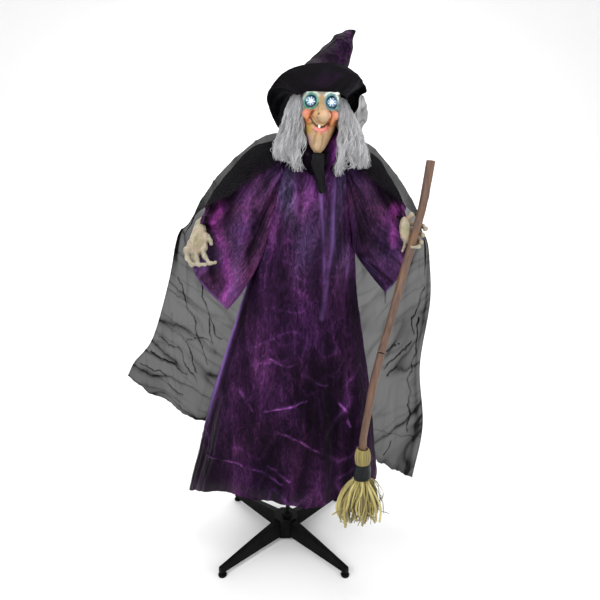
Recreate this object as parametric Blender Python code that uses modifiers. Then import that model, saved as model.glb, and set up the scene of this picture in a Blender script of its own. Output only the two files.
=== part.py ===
"""Animated witch figure: a life-size seasonal decoration on a four-leg plug-together stand.

Metres, +Z up, +X towards the figure's left hand side as the viewer sees it on the right, -Y towards
the viewer. The origin is on the floor under the hub, where the upright's axis meets it.
The upright leans LEAN to +X in its socket, and everything it carries is laid out in the leaning
"figure" frame, whose Z runs up the upright.
"""

import math

import bmesh
import bpy
from mathutils import Matrix, Vector

# ---------------------------------------------------------------- driving dimensions
GAP = 0.0003                      # clearance between touching pieces
LEAN = math.radians(4.4)          # upright's lean towards +X

FOOT_REACH = 0.215                # foot pad centres, along X and along Y
HUB_ACROSS = 0.087                # octagonal hub, across its flats
HUB_BOTTOM, HUB_TOP = 0.012, 0.085
LEG_ROOT_WIDTH, LEG_TIP_WIDTH = 0.034, 0.019
LEG_UNDERSIDE, LEG_TIP_TOP = 0.016, 0.036

POLE_R, POLE_WALL = 0.008, 0.0012
POLE_FOOT, POLE_JOINT, POLE_TOP = 0.020, 0.480, 0.935

WAIST_Z = 0.970                   # sway pivot
SWAY_PIN_R = 0.004
GEAR_MODULE = 0.00125
SECTOR_TEETH, SWAY_PINION_TEETH = 64, 16
NECK_GEAR_TEETH, NECK_PINION_TEETH = 30, 12
GEAR_THICKNESS = 0.007

FRAME_PLATE = 0.006               # thickness of the torso plate
HOUSING_W, HOUSING_D = 0.150, 0.052
HOUSING_BOTTOM, HOUSING_TOP = 1.045, 1.330
WALL = 0.0025

NECK_Y = -0.028                   # head axis
NECK_SHAFT_R = 0.006
SHOULDER_Y, SHOULDER_Z = 0.0142, 1.432
YOKE_HALF = 0.112
ARM_ROD_R = 0.004

FACE_Y = -0.030                   # seam between mask and back of head
EYE_X, EYE_Z, EYE_HOLE_R = 0.032, 1.585, 0.0125

BROOM_HEAD = Vector((0.248, -0.290))  # X and Y of the bundle's axis
HANDLE_R_TOP, HANDLE_R_LOW = 0.0130, 0.0115

GRIP_TOP = Vector((0.4230, -0.190, 1.262))
GRIP_BOTTOM = Vector((0.3780, -0.215, 1.100))

# ---------------------------------------------------------------- scene and helpers
for old in list(bpy.data.objects):
    bpy.data.objects.remove(old, do_unlink=True)

scene = bpy.context.scene
parts = bpy.data.collections.new("animated_witch_figure")
cutters = bpy.data.collections.new("cutters")
scene.collection.children.link(parts)
scene.collection.children.link(cutters)


def material(name, colour, roughness, metallic=0.0, alpha=1.0):
    made = bpy.data.materials.new(name)
    made.use_nodes = True
    shader = made.node_tree.nodes["Principled BSDF"]
    shader.inputs["Base Color"].default_value = (*colour, 1.0)
    shader.inputs["Roughness"].default_value = roughness
    shader.inputs["Metallic"].default_value = metallic
    shader.inputs["Alpha"].default_value = alpha
    return made


def pivot(name, location, parent=None, rotation=(0.0, 0.0, 0.0)):
    """An empty on a joint's axis. location is in the figure frame, like every child's."""
    empty = bpy.data.objects.new(name, None)
    empty.empty_display_size = 0.05
    parts.objects.link(empty)
    empty["at"] = location
    empty.parent = parent
    start = Vector(parent["at"]) if parent else Vector((0.0, 0.0, 0.0))
    empty.location = Vector(location) - start
    empty.rotation_euler = rotation
    return empty


def adopt(obj, name, finish, parent=None, at=(0.0, 0.0, 0.0), turn=(0.0, 0.0, 0.0)):
    """Name an object, give it its material and hang it on its body's empty."""
    obj.name = name
    obj.data.name = name
    obj.data.materials.clear()
    obj.data.materials.append(material(name, *finish))
    for home in list(obj.users_collection):
        home.objects.unlink(obj)
    parts.objects.link(obj)
    start = Vector(parent["at"]) if parent else Vector((0.0, 0.0, 0.0))
    obj.parent = parent
    obj.location = Vector(at) - start
    obj.rotation_euler = turn
    return obj


def as_cutter(obj, parent=None, at=(0.0, 0.0, 0.0), turn=(0.0, 0.0, 0.0)):
    obj.name = "cutter"
    for home in list(obj.users_collection):
        home.objects.unlink(obj)
    cutters.objects.link(obj)
    obj.hide_render = True
    obj.display_type = "WIRE"
    start = Vector(parent["at"]) if parent else Vector((0.0, 0.0, 0.0))
    obj.parent = parent
    obj.location = Vector(at) - start
    obj.rotation_euler = turn
    return obj


def boolean(obj, other, operation="DIFFERENCE"):
    mod = obj.modifiers.new(operation.title(), "BOOLEAN")
    mod.operation = operation
    mod.object = other


def bevel(obj, width, segments=2):
    mod = obj.modifiers.new("Bevel", "BEVEL")
    mod.width = width
    mod.segments = segments
    mod.limit_method = "ANGLE"


def solidify(obj, thickness, offset=-1.0):
    mod = obj.modifiers.new("Solidify", "SOLIDIFY")
    mod.thickness = thickness
    mod.offset = offset
    mod.use_even_offset = True


def subdivide(obj, levels):
    mod = obj.modifiers.new("Subdivision", "SUBSURF")
    mod.levels = levels
    mod.render_levels = levels
    mod.boundary_smooth = "PRESERVE_CORNERS"


def from_bmesh(name, bm):
    bmesh.ops.recalc_face_normals(bm, faces=bm.faces[:])
    mesh = bpy.data.meshes.new(name)
    bm.to_mesh(mesh)
    bm.free()
    obj = bpy.data.objects.new(name, mesh)
    parts.objects.link(obj)
    return obj


def box(name, size):
    bm = bmesh.new()
    bmesh.ops.create_cube(bm, size=1.0)
    bmesh.ops.scale(bm, vec=size, verts=bm.verts[:])
    return from_bmesh(name, bm)


def cylinder(name, radius, length, sides=32, top_radius=None):
    bm = bmesh.new()
    top = radius if top_radius is None else top_radius
    bmesh.ops.create_cone(bm, cap_ends=True, segments=sides, radius1=radius, radius2=top, depth=length)
    obj = from_bmesh(name, bm)
    obj.data.shade_smooth()
    obj.data.set_sharp_from_angle(angle=math.radians(35))
    return obj


def turned(name, profile, sides=32, closed=False):
    """A solid of revolution about Z. The profile runs down the outer side, top to bottom."""
    mesh = bpy.data.meshes.new(name)
    points = [(radius, 0.0, z) for radius, z in profile]
    edges = [(i, i + 1) for i in range(len(points) - 1)]
    if closed:
        edges.append((len(points) - 1, 0))
    mesh.from_pydata(points, edges, [])
    obj = bpy.data.objects.new(name, mesh)
    parts.objects.link(obj)
    mod = obj.modifiers.new("Screw", "SCREW")
    mod.steps = sides
    mod.render_steps = sides
    mod.use_merge_vertices = True
    mod.merge_threshold = 0.00001
    mod.use_smooth_shade = False
    return obj


def ring(name, outer, inner, low, high, sides=32):
    return turned(name, [(outer, high), (outer, low), (inner, low), (inner, high)], sides, closed=True)


def plate(name, outline, thickness, holes=()):
    """A flat outline in XY, and its round holes (x, y, radius), thickened along Z."""
    curve = bpy.data.curves.new(name, "CURVE")
    curve.dimensions = "2D"
    curve.fill_mode = "BOTH"
    curve.extrude = thickness / 2
    loops = [outline]
    for x, y, radius in holes:
        turn = [2 * math.pi * k / 24 for k in range(24)]
        loops.append([(x + radius * math.cos(a), y + radius * math.sin(a)) for a in turn])
    for loop in loops:
        spline = curve.splines.new("POLY")
        spline.points.add(len(loop) - 1)
        spline.use_cyclic_u = True
        for point, (x, y) in zip(spline.points, loop):
            point.co = (x, y, 0.0, 1.0)
    obj = bpy.data.objects.new(name, curve)
    parts.objects.link(obj)
    return obj


def wire(name, points, radius, cyclic=False, resolution=2):
    curve = bpy.data.curves.new(name, "CURVE")
    curve.dimensions = "3D"
    curve.bevel_depth = radius
    curve.bevel_resolution = resolution
    curve.use_fill_caps = not cyclic
    spline = curve.splines.new("POLY")
    spline.points.add(len(points) - 1)
    spline.use_cyclic_u = cyclic
    for point, place in zip(spline.points, points):
        point.co = (*place, 1.0)
    obj = bpy.data.objects.new(name, curve)
    parts.objects.link(obj)
    return obj


def smooth_path(points, pieces=4):
    """Points on a Catmull-Rom curve through the given ones."""
    line = [Vector(p) for p in points]
    line = [2 * line[0] - line[1]] + line + [2 * line[-1] - line[-2]]
    out = []
    for i in range(1, len(line) - 2):
        a, b, c, d = line[i - 1:i + 3]
        for k in range(pieces):
            t = k / pieces
            out.append(0.5 * (2 * b + (c - a) * t + (2 * a - 5 * b + 4 * c - d) * t * t
                              + (3 * b - 3 * c + d - a) * t ** 3))
    out.append(line[-2])
    return out


def loft(name, rows, closed_rows=True, cap_first=False, cap_last=False):
    """Quads between rows of equally many points."""
    bm = bmesh.new()
    lines = [[bm.verts.new(p) for p in row] for row in rows]
    count = len(rows[0])
    last = count if closed_rows else count - 1
    for low, high in zip(lines, lines[1:]):
        for k in range(last):
            n = (k + 1) % count
            bm.faces.new((low[k], low[n], high[n], high[k]))
    if cap_first:
        bm.faces.new(lines[0])
    if cap_last:
        bm.faces.new(lines[-1])
    return from_bmesh(name, bm)


def limb(name, stations, sides=8):
    """A closed tapered tube along (point, radius) stations, smoothed between them."""
    path = smooth_path([p for p, _ in stations], 2)
    radii = [Vector((r, 0.0, 0.0)) for _, r in stations]
    radii = [v.x for v in smooth_path(radii, 2)]
    rows = []
    side = Vector((0.3, 1.0, 0.1))
    for i, point in enumerate(path):
        ahead = path[min(i + 1, len(path) - 1)] - path[max(i - 1, 0)]
        ahead.normalize()
        side = (side - ahead * side.dot(ahead)).normalized()
        other = ahead.cross(side)
        turn = [2 * math.pi * k / sides for k in range(sides)]
        rows.append([point + radii[i] * (side * math.cos(a) + other * math.sin(a)) for a in turn])
    return loft(name, rows, cap_first=True, cap_last=True)


def gear_outline(teeth, pitch_r, first=0, count=None, start_angle=0.0, bore=None):
    """Trapezoid teeth with running clearance; a full wheel, or a sector closed round its bore."""
    addendum, dedendum = 0.9 * GEAR_MODULE, 1.25 * GEAR_MODULE
    step = 2 * math.pi / teeth
    outline = []
    total = teeth if count is None else count
    for k in range(first, first + total):
        centre = start_angle + k * step
        for share, radius in ((-0.27, -dedendum), (-0.11, addendum), (0.11, addendum), (0.27, -dedendum)):
            angle = centre + share * step
            reach = pitch_r + radius
            outline.append((reach * math.cos(angle), reach * math.sin(angle)))
    if bore:
        low = start_angle + (first - 0.5) * step
        high = start_angle + (first + total - 0.5) * step
        for k in range(13):
            angle = high + (low + 2 * math.pi - high) * k / 12
            outline.append((bore * math.cos(angle), bore * math.sin(angle)))
    return outline


# ---------------------------------------------------------------- finishes: colour, roughness, metallic
BLACK_PLASTIC = ((0.012, 0.012, 0.013), 0.55)
BLACK_STEEL = ((0.018, 0.018, 0.020), 0.40)
BRIGHT_STEEL = ((0.55, 0.55, 0.56), 0.30, 1.0)
GREY_PLASTIC = ((0.25, 0.25, 0.26), 0.50)
WHITE_NYLON = ((0.80, 0.79, 0.74), 0.45)
MOTOR_CAN = ((0.45, 0.45, 0.47), 0.35, 1.0)
GREEN_BOARD = ((0.02, 0.16, 0.06), 0.45)
BATTERY = ((0.04, 0.04, 0.05), 0.35)
RED_BUTTON = ((0.50, 0.02, 0.02), 0.35)
SKIN = ((0.74, 0.60, 0.38), 0.50)
BONE = ((0.66, 0.60, 0.44), 0.45)
LENS = ((0.20, 0.45, 0.80), 0.15)
HAT = ((0.020, 0.012, 0.024), 0.60)
HAT_SHEEN = ((0.060, 0.018, 0.075), 0.40)
HAIR = ((0.52, 0.51, 0.52), 0.60)
ROBE = ((0.070, 0.016, 0.080), 0.40)
SLEEVE = ((0.130, 0.030, 0.150), 0.38)
COLLAR = ((0.120, 0.040, 0.160), 0.30)
RIBBON = ((0.008, 0.008, 0.008), 0.55)
GAUZE = ((0.10, 0.10, 0.105), 0.70, 0.0, 0.55)
HANDLE = ((0.36, 0.16, 0.09), 0.60)
RAFFIA = ((0.58, 0.46, 0.20), 0.70)
TAPE = ((0.010, 0.012, 0.014), 0.40)

# ---------------------------------------------------------------- bodies
figure = pivot("figure_lean", (0.0, 0.0, 0.0), rotation=(0.0, LEAN, 0.0))
waist = pivot("waist_pivot", (0.0, 0.0, WAIST_Z), figure)
sector_pitch = GEAR_MODULE * SECTOR_TEETH / 2
sway_pinion_pitch = GEAR_MODULE * SWAY_PINION_TEETH / 2
SWAY_PINION_Z = WAIST_Z + sector_pitch + sway_pinion_pitch
sway_pinion_axis = pivot("sway_pinion_axis", (0.0, 0.0, SWAY_PINION_Z), waist)
neck = pivot("neck_axis", (0.0, NECK_Y, 1.30), waist)
neck_gear_pitch = GEAR_MODULE * NECK_GEAR_TEETH / 2
neck_pinion_pitch = GEAR_MODULE * NECK_PINION_TEETH / 2
NECK_PINION_X = neck_gear_pitch + neck_pinion_pitch
neck_pinion_axis = pivot("neck_pinion_axis", (NECK_PINION_X, NECK_Y, 1.30), waist)
shoulder = {-1: pivot("shoulder_left_axis", (-YOKE_HALF, SHOULDER_Y, SHOULDER_Z), waist),
            1: pivot("shoulder_right_axis", (YOKE_HALF, SHOULDER_Y, SHOULDER_Z), waist)}


# ---------------------------------------------------------------- stand
def leg_quadrants():
    return (("front_left", -1, -1), ("front_right", 1, -1), ("rear_left", -1, 1), ("rear_right", 1, 1))


def make_hub():
    """Octagonal hub with a socket boss that reaches the floor; its flats face the legs."""
    circumradius = HUB_ACROSS / 2 / math.cos(math.pi / 8)
    hub = cylinder("base_hub", circumradius, HUB_TOP - HUB_BOTTOM, sides=8)
    hub.data.transform(Matrix.Rotation(math.pi / 8, 4, "Z"))
    hub.data.transform(Matrix.Translation((0.0, 0.0, (HUB_TOP + HUB_BOTTOM) / 2)))
    adopt(hub, "base_hub", BLACK_PLASTIC)
    boss = as_cutter(cylinder("boss", 0.016, HUB_BOTTOM + 0.01, sides=24), at=(0.0, 0.0, (HUB_BOTTOM + 0.01) / 2))
    boolean(hub, boss, "UNION")
    collar = as_cutter(cylinder("collar", 0.021, 0.014, sides=24, top_radius=0.017), at=(0.0065, 0.0, HUB_TOP + 0.006))
    boolean(hub, collar, "UNION")
    socket = cylinder("socket", POLE_R + GAP, 0.12, sides=24)
    boolean(hub, as_cutter(socket, figure, at=(0.0, 0.0, POLE_FOOT - GAP + 0.06)))


def make_leg(name, sx, sy):
    """A tapering channel leg, from the hub's flat out to its foot."""
    root = HUB_ACROSS / 2 + GAP
    tip = math.hypot(FOOT_REACH, FOOT_REACH) + 0.010
    rows = []
    for along, width, top in ((root, LEG_ROOT_WIDTH, HUB_TOP - 0.006), (0.16, 0.027, 0.062), (tip, LEG_TIP_WIDTH, LEG_TIP_TOP)):
        half, low = width / 2, LEG_UNDERSIDE
        rows.append([(along, -half, low), (along, half, low), (along, half * 0.8, top), (along, -half * 0.8, top)])
    leg = loft(name, rows, cap_first=True, cap_last=True)
    adopt(leg, name, BLACK_PLASTIC, turn=(0.0, 0.0, math.atan2(sy, sx)))
    groove = as_cutter(box("groove", (0.20, 0.009, 0.03)), at=(0.0, 0.0, 0.0))
    groove.data.transform(Matrix.Translation((0.165, 0.0, LEG_UNDERSIDE - 0.003)))
    groove.rotation_euler = (0.0, 0.0, math.atan2(sy, sx))
    boolean(leg, groove)
    bevel(leg, 0.0012, 1)


def make_foot(name, sx, sy):
    """A domed pad with a short neck under the leg's tip."""
    top = LEG_UNDERSIDE - GAP
    profile = [(0.0, top), (0.006, top), (0.006, 0.011), (0.013, 0.009), (0.0155, 0.005), (0.0140, 0.0), (0.0, 0.0)]
    adopt(turned(name, profile, 20), name, BLACK_PLASTIC, at=(sx * FOOT_REACH, sy * FOOT_REACH, 0.0))


def make_pole():
    bore = POLE_R - POLE_WALL
    for name, low, high in (("pole_lower", POLE_FOOT, POLE_JOINT - GAP), ("pole_upper", POLE_JOINT, POLE_TOP)):
        adopt(ring(name, POLE_R, bore, low, high, 20), name, BLACK_STEEL, figure)
    low, high = POLE_JOINT - 0.03, POLE_JOINT + 0.03
    coupler = ring("pole_coupler", POLE_R + 0.0025, POLE_R + GAP, low, high, 20)
    adopt(coupler, "pole_coupler", BLACK_PLASTIC, figure)


def make_hip():
    """A socket clamped on the pole with two ears that carry the sway pin, and the fixed sector."""
    base_low, base_high = POLE_TOP - 0.035, POLE_TOP + 0.008
    block = box("hip_bracket", (0.036, 0.034, base_high - base_low))
    adopt(block, "hip_bracket", GREY_PLASTIC, figure, at=(0.0, 0.0, (base_low + base_high) / 2))
    ear_gap = FRAME_PLATE / 2 + 0.0008
    for side in (-1, 1):
        ear = box("ear", (0.022, 0.006, 0.050))
        ear = as_cutter(ear, figure, at=(0.0, side * (ear_gap + 0.003), base_high + 0.018))
        boolean(block, ear, "UNION")
    socket = as_cutter(cylinder("socket", POLE_R + GAP, 0.06, 20), figure, at=(0.0, 0.0, POLE_TOP + GAP - 0.03))
    boolean(block, socket)
    bore = cylinder("pin_bore", SWAY_PIN_R + GAP, 0.06, 20)
    boolean(block, as_cutter(bore, figure, at=(0.0, 0.0, WAIST_Z), turn=(math.pi / 2, 0.0, 0.0)))
    pin = cylinder("hip_pin", SWAY_PIN_R, 0.0425, 20)
    adopt(pin, "hip_pin", BRIGHT_STEEL, figure, at=(0.0, -0.0085, WAIST_Z), turn=(math.pi / 2, 0.0, 0.0))
    outline = gear_outline(SECTOR_TEETH, sector_pitch, -6, 13, math.pi / 2, bore=0.011)
    sector = plate("sway_sector_gear", outline, GEAR_THICKNESS, [(0.0, 0.0, SWAY_PIN_R + GAP)])
    y = -(ear_gap + 0.006 + GAP + GEAR_THICKNESS / 2)
    adopt(sector, "sway_sector_gear", WHITE_NYLON, figure, at=(0.0, y, WAIST_Z), turn=(math.pi / 2, 0.0, 0.0))
    return y


# ---------------------------------------------------------------- torso mechanism
def make_frame_plate():
    """The plate that swings on the hip pin and carries every drive, shell and the yoke."""
    half, low, shelf = HOUSING_W / 2, HOUSING_BOTTOM, HOUSING_TOP
    neck_half = 0.016
    outline = [(-0.013, WAIST_Z - 0.012), (0.013, WAIST_Z - 0.012), (0.026, WAIST_Z + 0.04), (half, low),
               (half, shelf), (neck_half, shelf), (neck_half, 1.446), (-neck_half, 1.446), (-neck_half, shelf),
               (-half, shelf), (-half, low), (-0.026, WAIST_Z + 0.04)]
    holes = [(0.0, WAIST_Z, SWAY_PIN_R + 0.0001), (0.0, SWAY_PINION_Z, 0.0032)]
    frame = plate("torso_frame", outline, FRAME_PLATE, holes)
    adopt(frame, "torso_frame", GREY_PLASTIC, waist, turn=(math.pi / 2, 0.0, 0.0))


def make_sway_drive(gear_y):
    motor_low = FRAME_PLATE / 2 + GAP
    profile = [(0.0, 0.046), (0.0125, 0.046), (0.0175, 0.043), (0.0175, 0.0), (0.0, 0.0)]
    motor = turned("sway_motor", profile, 28)
    motor_at = (0.0, motor_low, SWAY_PINION_Z)
    adopt(motor, "sway_motor", MOTOR_CAN, waist, at=motor_at, turn=(-math.pi / 2, 0.0, 0.0))
    outline = gear_outline(SWAY_PINION_TEETH, sway_pinion_pitch, start_angle=-math.pi / 2 + math.pi / SWAY_PINION_TEETH)
    pinion = plate("sway_pinion", outline, GEAR_THICKNESS)
    adopt(pinion, "sway_pinion", BRIGHT_STEEL, sway_pinion_axis, at=(0.0, gear_y, SWAY_PINION_Z), turn=(math.pi / 2, 0.0, 0.0))


def make_housing_shell(name, side):
    """A tray that closes one face of the plate; side is -1 for the front and 1 for the back."""
    near = FRAME_PLATE / 2 + GAP
    mid_z, height = (HOUSING_BOTTOM + HOUSING_TOP) / 2, HOUSING_TOP - HOUSING_BOTTOM
    depth = HOUSING_D
    shell = box(name, (HOUSING_W, depth, height))
    bevel(shell, 0.010, 2)
    adopt(shell, name, BLACK_PLASTIC, waist, at=(0.0, side * (near + depth / 2), mid_z))
    hollow = box("hollow", (HOUSING_W - 2 * WALL, depth, height - 2 * WALL))
    bevel(hollow, 0.0085, 2)
    boolean(shell, as_cutter(hollow, waist, at=(0.0, side * (near + depth / 2 - WALL), mid_z)))
    trim = box("trim", (HOUSING_W + 0.04, 0.030, height + 0.04))
    boolean(shell, as_cutter(trim, waist, at=(0.0, side * (near - 0.015 + 0.011), mid_z)))
    return shell


def make_housings():
    front = make_housing_shell("torso_housing_front", -1)
    neck_hole = cylinder("neck_hole", 0.0103, 0.03, 24)
    boolean(front, as_cutter(neck_hole, waist, at=(0.0, NECK_Y, HOUSING_TOP)))
    button_hole = cylinder("button_hole", 0.0105, 0.03, 24)
    outer = -(FRAME_PLATE / 2 + GAP + HOUSING_D)
    boolean(front, as_cutter(button_hole, waist, at=(-0.048, outer, 1.265), turn=(math.pi / 2, 0.0, 0.0)))
    for k in range(5):
        slot = box("speaker_slot", (0.036, 0.03, 0.003))
        boolean(front, as_cutter(slot, waist, at=(0.030, outer, 1.086 + 0.008 * k)))
    back = make_housing_shell("torso_housing_back", 1)
    window = box("battery_window", (0.062, 0.03, 0.082))
    boolean(back, as_cutter(window, waist, at=(0.0, -outer, 1.125)))
    slot = box("switch_slot", (0.014, 0.03, 0.0056))
    boolean(back, as_cutter(slot, waist, at=(0.0, -outer, 1.205)))
    return outer


def make_torso_contents(outer):
    inner = outer + WALL
    cone = turned("speaker", [(0.0, 0.016), (0.012, 0.016), (0.024, 0.004), (0.027, 0.004), (0.027, 0.0), (0.0, 0.0)], 28)
    adopt(cone, "speaker", BLACK_PLASTIC, waist, at=(0.030, inner + GAP, 1.102), turn=(-math.pi / 2, 0.0, 0.0))
    board = box("control_board", (0.052, 0.0016, 0.070))
    adopt(board, "control_board", GREEN_BOARD, waist, at=(-0.034, -0.0095, 1.125))
    for x, z in ((-0.056, 1.094), (-0.012, 1.156)):
        post = as_cutter(cylinder("post", 0.0025, 0.0062, 12), waist, at=(x, -0.0064, z), turn=(math.pi / 2, 0.0, 0.0))
        boolean(board, post, "UNION")
    motor = box("head_motor", (0.022, 0.020, 0.044))
    bevel(motor, 0.002, 2)
    adopt(motor, "head_motor", MOTOR_CAN, waist, at=(NECK_PINION_X, NECK_Y, 1.300 - GEAR_THICKNESS / 2 - GAP - 0.022))
    tray = box("battery_tray", (0.060, 0.022, 0.080))
    adopt(tray, "battery_tray", BLACK_PLASTIC, waist, at=(0.0, 0.0365, 1.125))
    for k in range(3):
        x = 0.0175 * (k - 1)
        bay = box("battery_bay", (0.0158, 0.022, 0.0520))
        boolean(tray, as_cutter(bay, waist, at=(x, 0.0395, 1.125)))
        cell = turned(f"battery_{k + 1}", [(0.0, 0.0253), (0.0027, 0.0253), (0.0027, 0.0237), (0.0072, 0.0237),
                                           (0.0072, -0.0250), (0.0, -0.0250)], 20)
        adopt(cell, f"battery_{k + 1}", BATTERY, waist, at=(x, 0.0365, 1.125))
    door = box("battery_door", (0.061, 0.0022, 0.081))
    bevel(door, 0.0005, 1)
    adopt(door, "battery_door", BLACK_PLASTIC, waist, at=(0.0, -outer - 0.0011, 1.125))
    bush = turned("neck_bush", [(0.010, 0.0045), (0.010, -0.0025), (0.00605, -0.0025), (0.00605, 0.0045)], 28, True)
    adopt(bush, "neck_bush", WHITE_NYLON, waist, at=(0.0, NECK_Y, HOUSING_TOP - 0.001))


def make_controls(outer):
    profile = [(0.0, 0.0065), (0.007, 0.0065), (0.0100, 0.0045), (0.0100, -0.0055), (0.0, -0.0055)]
    button_axis = pivot("try_me_axis", (-0.048, outer, 1.265), waist)
    button = turned("try_me_button", profile, 28)
    adopt(button, "try_me_button", RED_BUTTON, button_axis, at=(-0.048, outer, 1.265), turn=(math.pi / 2, 0.0, 0.0))
    switch_axis = pivot("switch_axis", (-0.0025, -outer, 1.205), waist)
    slider = box("power_switch", (0.007, 0.0075, 0.0048))
    bevel(slider, 0.0006, 1)
    adopt(slider, "power_switch", WHITE_NYLON, switch_axis, at=(-0.0025, -outer, 1.205))


def make_yoke():
    """The shoulder bar behind the plate, bored at each end for an arm rod."""
    low_y = FRAME_PLATE / 2 + GAP
    depth = 2 * (SHOULDER_Y - low_y)
    bar = box("shoulder_yoke", (2 * YOKE_HALF, depth, 0.026))
    bevel(bar, 0.004, 2)
    adopt(bar, "shoulder_yoke", BLACK_PLASTIC, waist, at=(0.0, SHOULDER_Y, SHOULDER_Z))
    for side in (-1, 1):
        bore = cylinder("rod_bore", ARM_ROD_R + GAP, 0.070, 20)
        boolean(bar, as_cutter(bore, waist, at=(side * YOKE_HALF, SHOULDER_Y, SHOULDER_Z), turn=(0.0, math.pi / 2, 0.0)))


# ---------------------------------------------------------------- head
def make_neck():
    """Stepped shaft, from below its gear up to the plate that the head is screwed to."""
    r = NECK_SHAFT_R
    top = 1.560
    profile = [(0.0, top), (0.058, top), (0.058, top - 0.003), (0.010, top - 0.008), (0.010, top - 0.02),
               (r, top - 0.024), (r, 1.284), (0.0, 1.284)]
    adopt(turned("neck_shaft", profile, 24), "neck_shaft", WHITE_NYLON, neck, at=(0.0, NECK_Y, 0.0))
    gear = plate("neck_gear", gear_outline(NECK_GEAR_TEETH, neck_gear_pitch), GEAR_THICKNESS, [(0.0, 0.0, r + GAP)])
    adopt(gear, "neck_gear", WHITE_NYLON, neck, at=(0.0, NECK_Y, 1.300))
    outline = gear_outline(NECK_PINION_TEETH, neck_pinion_pitch, start_angle=math.pi + math.pi / NECK_PINION_TEETH)
    pinion = plate("head_pinion", outline, GEAR_THICKNESS)
    adopt(pinion, "head_pinion", BRIGHT_STEEL, neck_pinion_axis, at=(NECK_PINION_X, NECK_Y, 1.300))


def blended(keys, z):
    """Read a value from (z, value) keys, smoothly between them."""
    if z <= keys[0][0]:
        return keys[0][1]
    for (z0, v0), (z1, v1) in zip(keys, keys[1:]):
        if z <= z1:
            t = (z - z0) / (z1 - z0)
            t = t * t * (3 - 2 * t)
            return v0 + (v1 - v0) * t
    return keys[-1][1]


FACE_HALF_WIDTH = [(1.437, 0.010), (1.448, 0.021), (1.465, 0.031), (1.490, 0.047), (1.520, 0.060), (1.550, 0.0645),
                   (1.600, 0.0640), (1.640, 0.060)]
FACE_FRONT = [(1.437, -0.137), (1.448, -0.147), (1.465, -0.143), (1.490, -0.130), (1.510, -0.128), (1.545, -0.128),
              (1.585, -0.124), (1.610, -0.130), (1.640, -0.122)]
FACE_SEAM = [(1.437, -0.106), (1.448, -0.100), (1.465, -0.092), (1.490, -0.074), (1.515, -0.040), (1.530, FACE_Y)]
NOSE = [(1.496, 0.0), (1.506, 0.052), (1.516, 0.060), (1.545, 0.038), (1.575, 0.016), (1.598, 0.0)]


def make_mask():
    """The moulded mask: half ellipses up the face, pushed out along the middle for the nose."""
    rows = []
    heights = [1.437, 1.444, 1.458, 1.474, 1.490, 1.500, 1.508, 1.518, 1.534, 1.556, 1.580, 1.604, 1.640]
    for z in heights:
        tables = (FACE_HALF_WIDTH, FACE_FRONT, FACE_SEAM, NOSE)
        half, front, seam, nose = (blended(keys, z) for keys in tables)
        row = []
        for k in range(21):
            angle = math.pi * (k / 20 - 0.5)
            push = nose * math.exp(-(math.sin(angle) * half / 0.0125) ** 2)
            row.append((half * math.sin(angle), seam + (front - seam) * math.cos(angle) - push, z))
        rows.append(row)
    mask = loft("face_mask", rows, closed_rows=False)
    adopt(mask, "face_mask", SKIN, neck)
    solidify(mask, 0.003, offset=side_in(mask))
    for side in (-1, 1):
        hole = cylinder("eye_hole", EYE_HOLE_R, 0.06, 24)
        boolean(mask, as_cutter(hole, neck, at=(side * EYE_X, FACE_Y - 0.09, EYE_Z), turn=(math.pi / 2, 0.0, 0.0)))


def side_in(obj):
    """Solidify offset that grows an open shell towards the head's axis, whichever way it faces."""
    face = obj.data.polygons[len(obj.data.polygons) // 2]
    outward = face.normal.dot(Vector((face.center.x, face.center.y - NECK_Y, 0.0))) > 0
    return -1.0 if outward else 1.0


def make_skull():
    rows = []
    shape = [(1.525, 0.054, 0.070), (1.545, 0.062, 0.090), (1.580, 0.0645, 0.100), (1.620, 0.062, 0.100),
             (1.655, 0.052, 0.086), (1.680, 0.036, 0.060), (1.692, 0.018, 0.030)]
    for z, half, depth in shape:
        angles = [math.pi * k / 16 for k in range(17)]
        rows.append([(half * math.cos(a), FACE_Y + 0.0006 + depth * math.sin(a), z) for a in angles])
    skull = loft("head_back", rows, closed_rows=False)
    adopt(skull, "head_back", SKIN, neck)
    solidify(skull, 0.003, offset=side_in(skull))


def make_eyes():
    profile = [(0.0, 0.006), (0.006, 0.0048), (0.0105, 0.0015), (EYE_HOLE_R - 0.0005, -0.003),
               (EYE_HOLE_R - 0.0005, -0.012), (0.008, -0.014), (0.008, -0.022), (0.0, -0.022)]
    for side, name in ((-1, "eye_light_left"), (1, "eye_light_right")):
        eye = turned(name, profile, 24)
        adopt(eye, name, LENS, neck, at=(side * EYE_X, FACE_Y - 0.080, EYE_Z), turn=(math.pi / 2, 0.0, 0.0))


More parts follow.
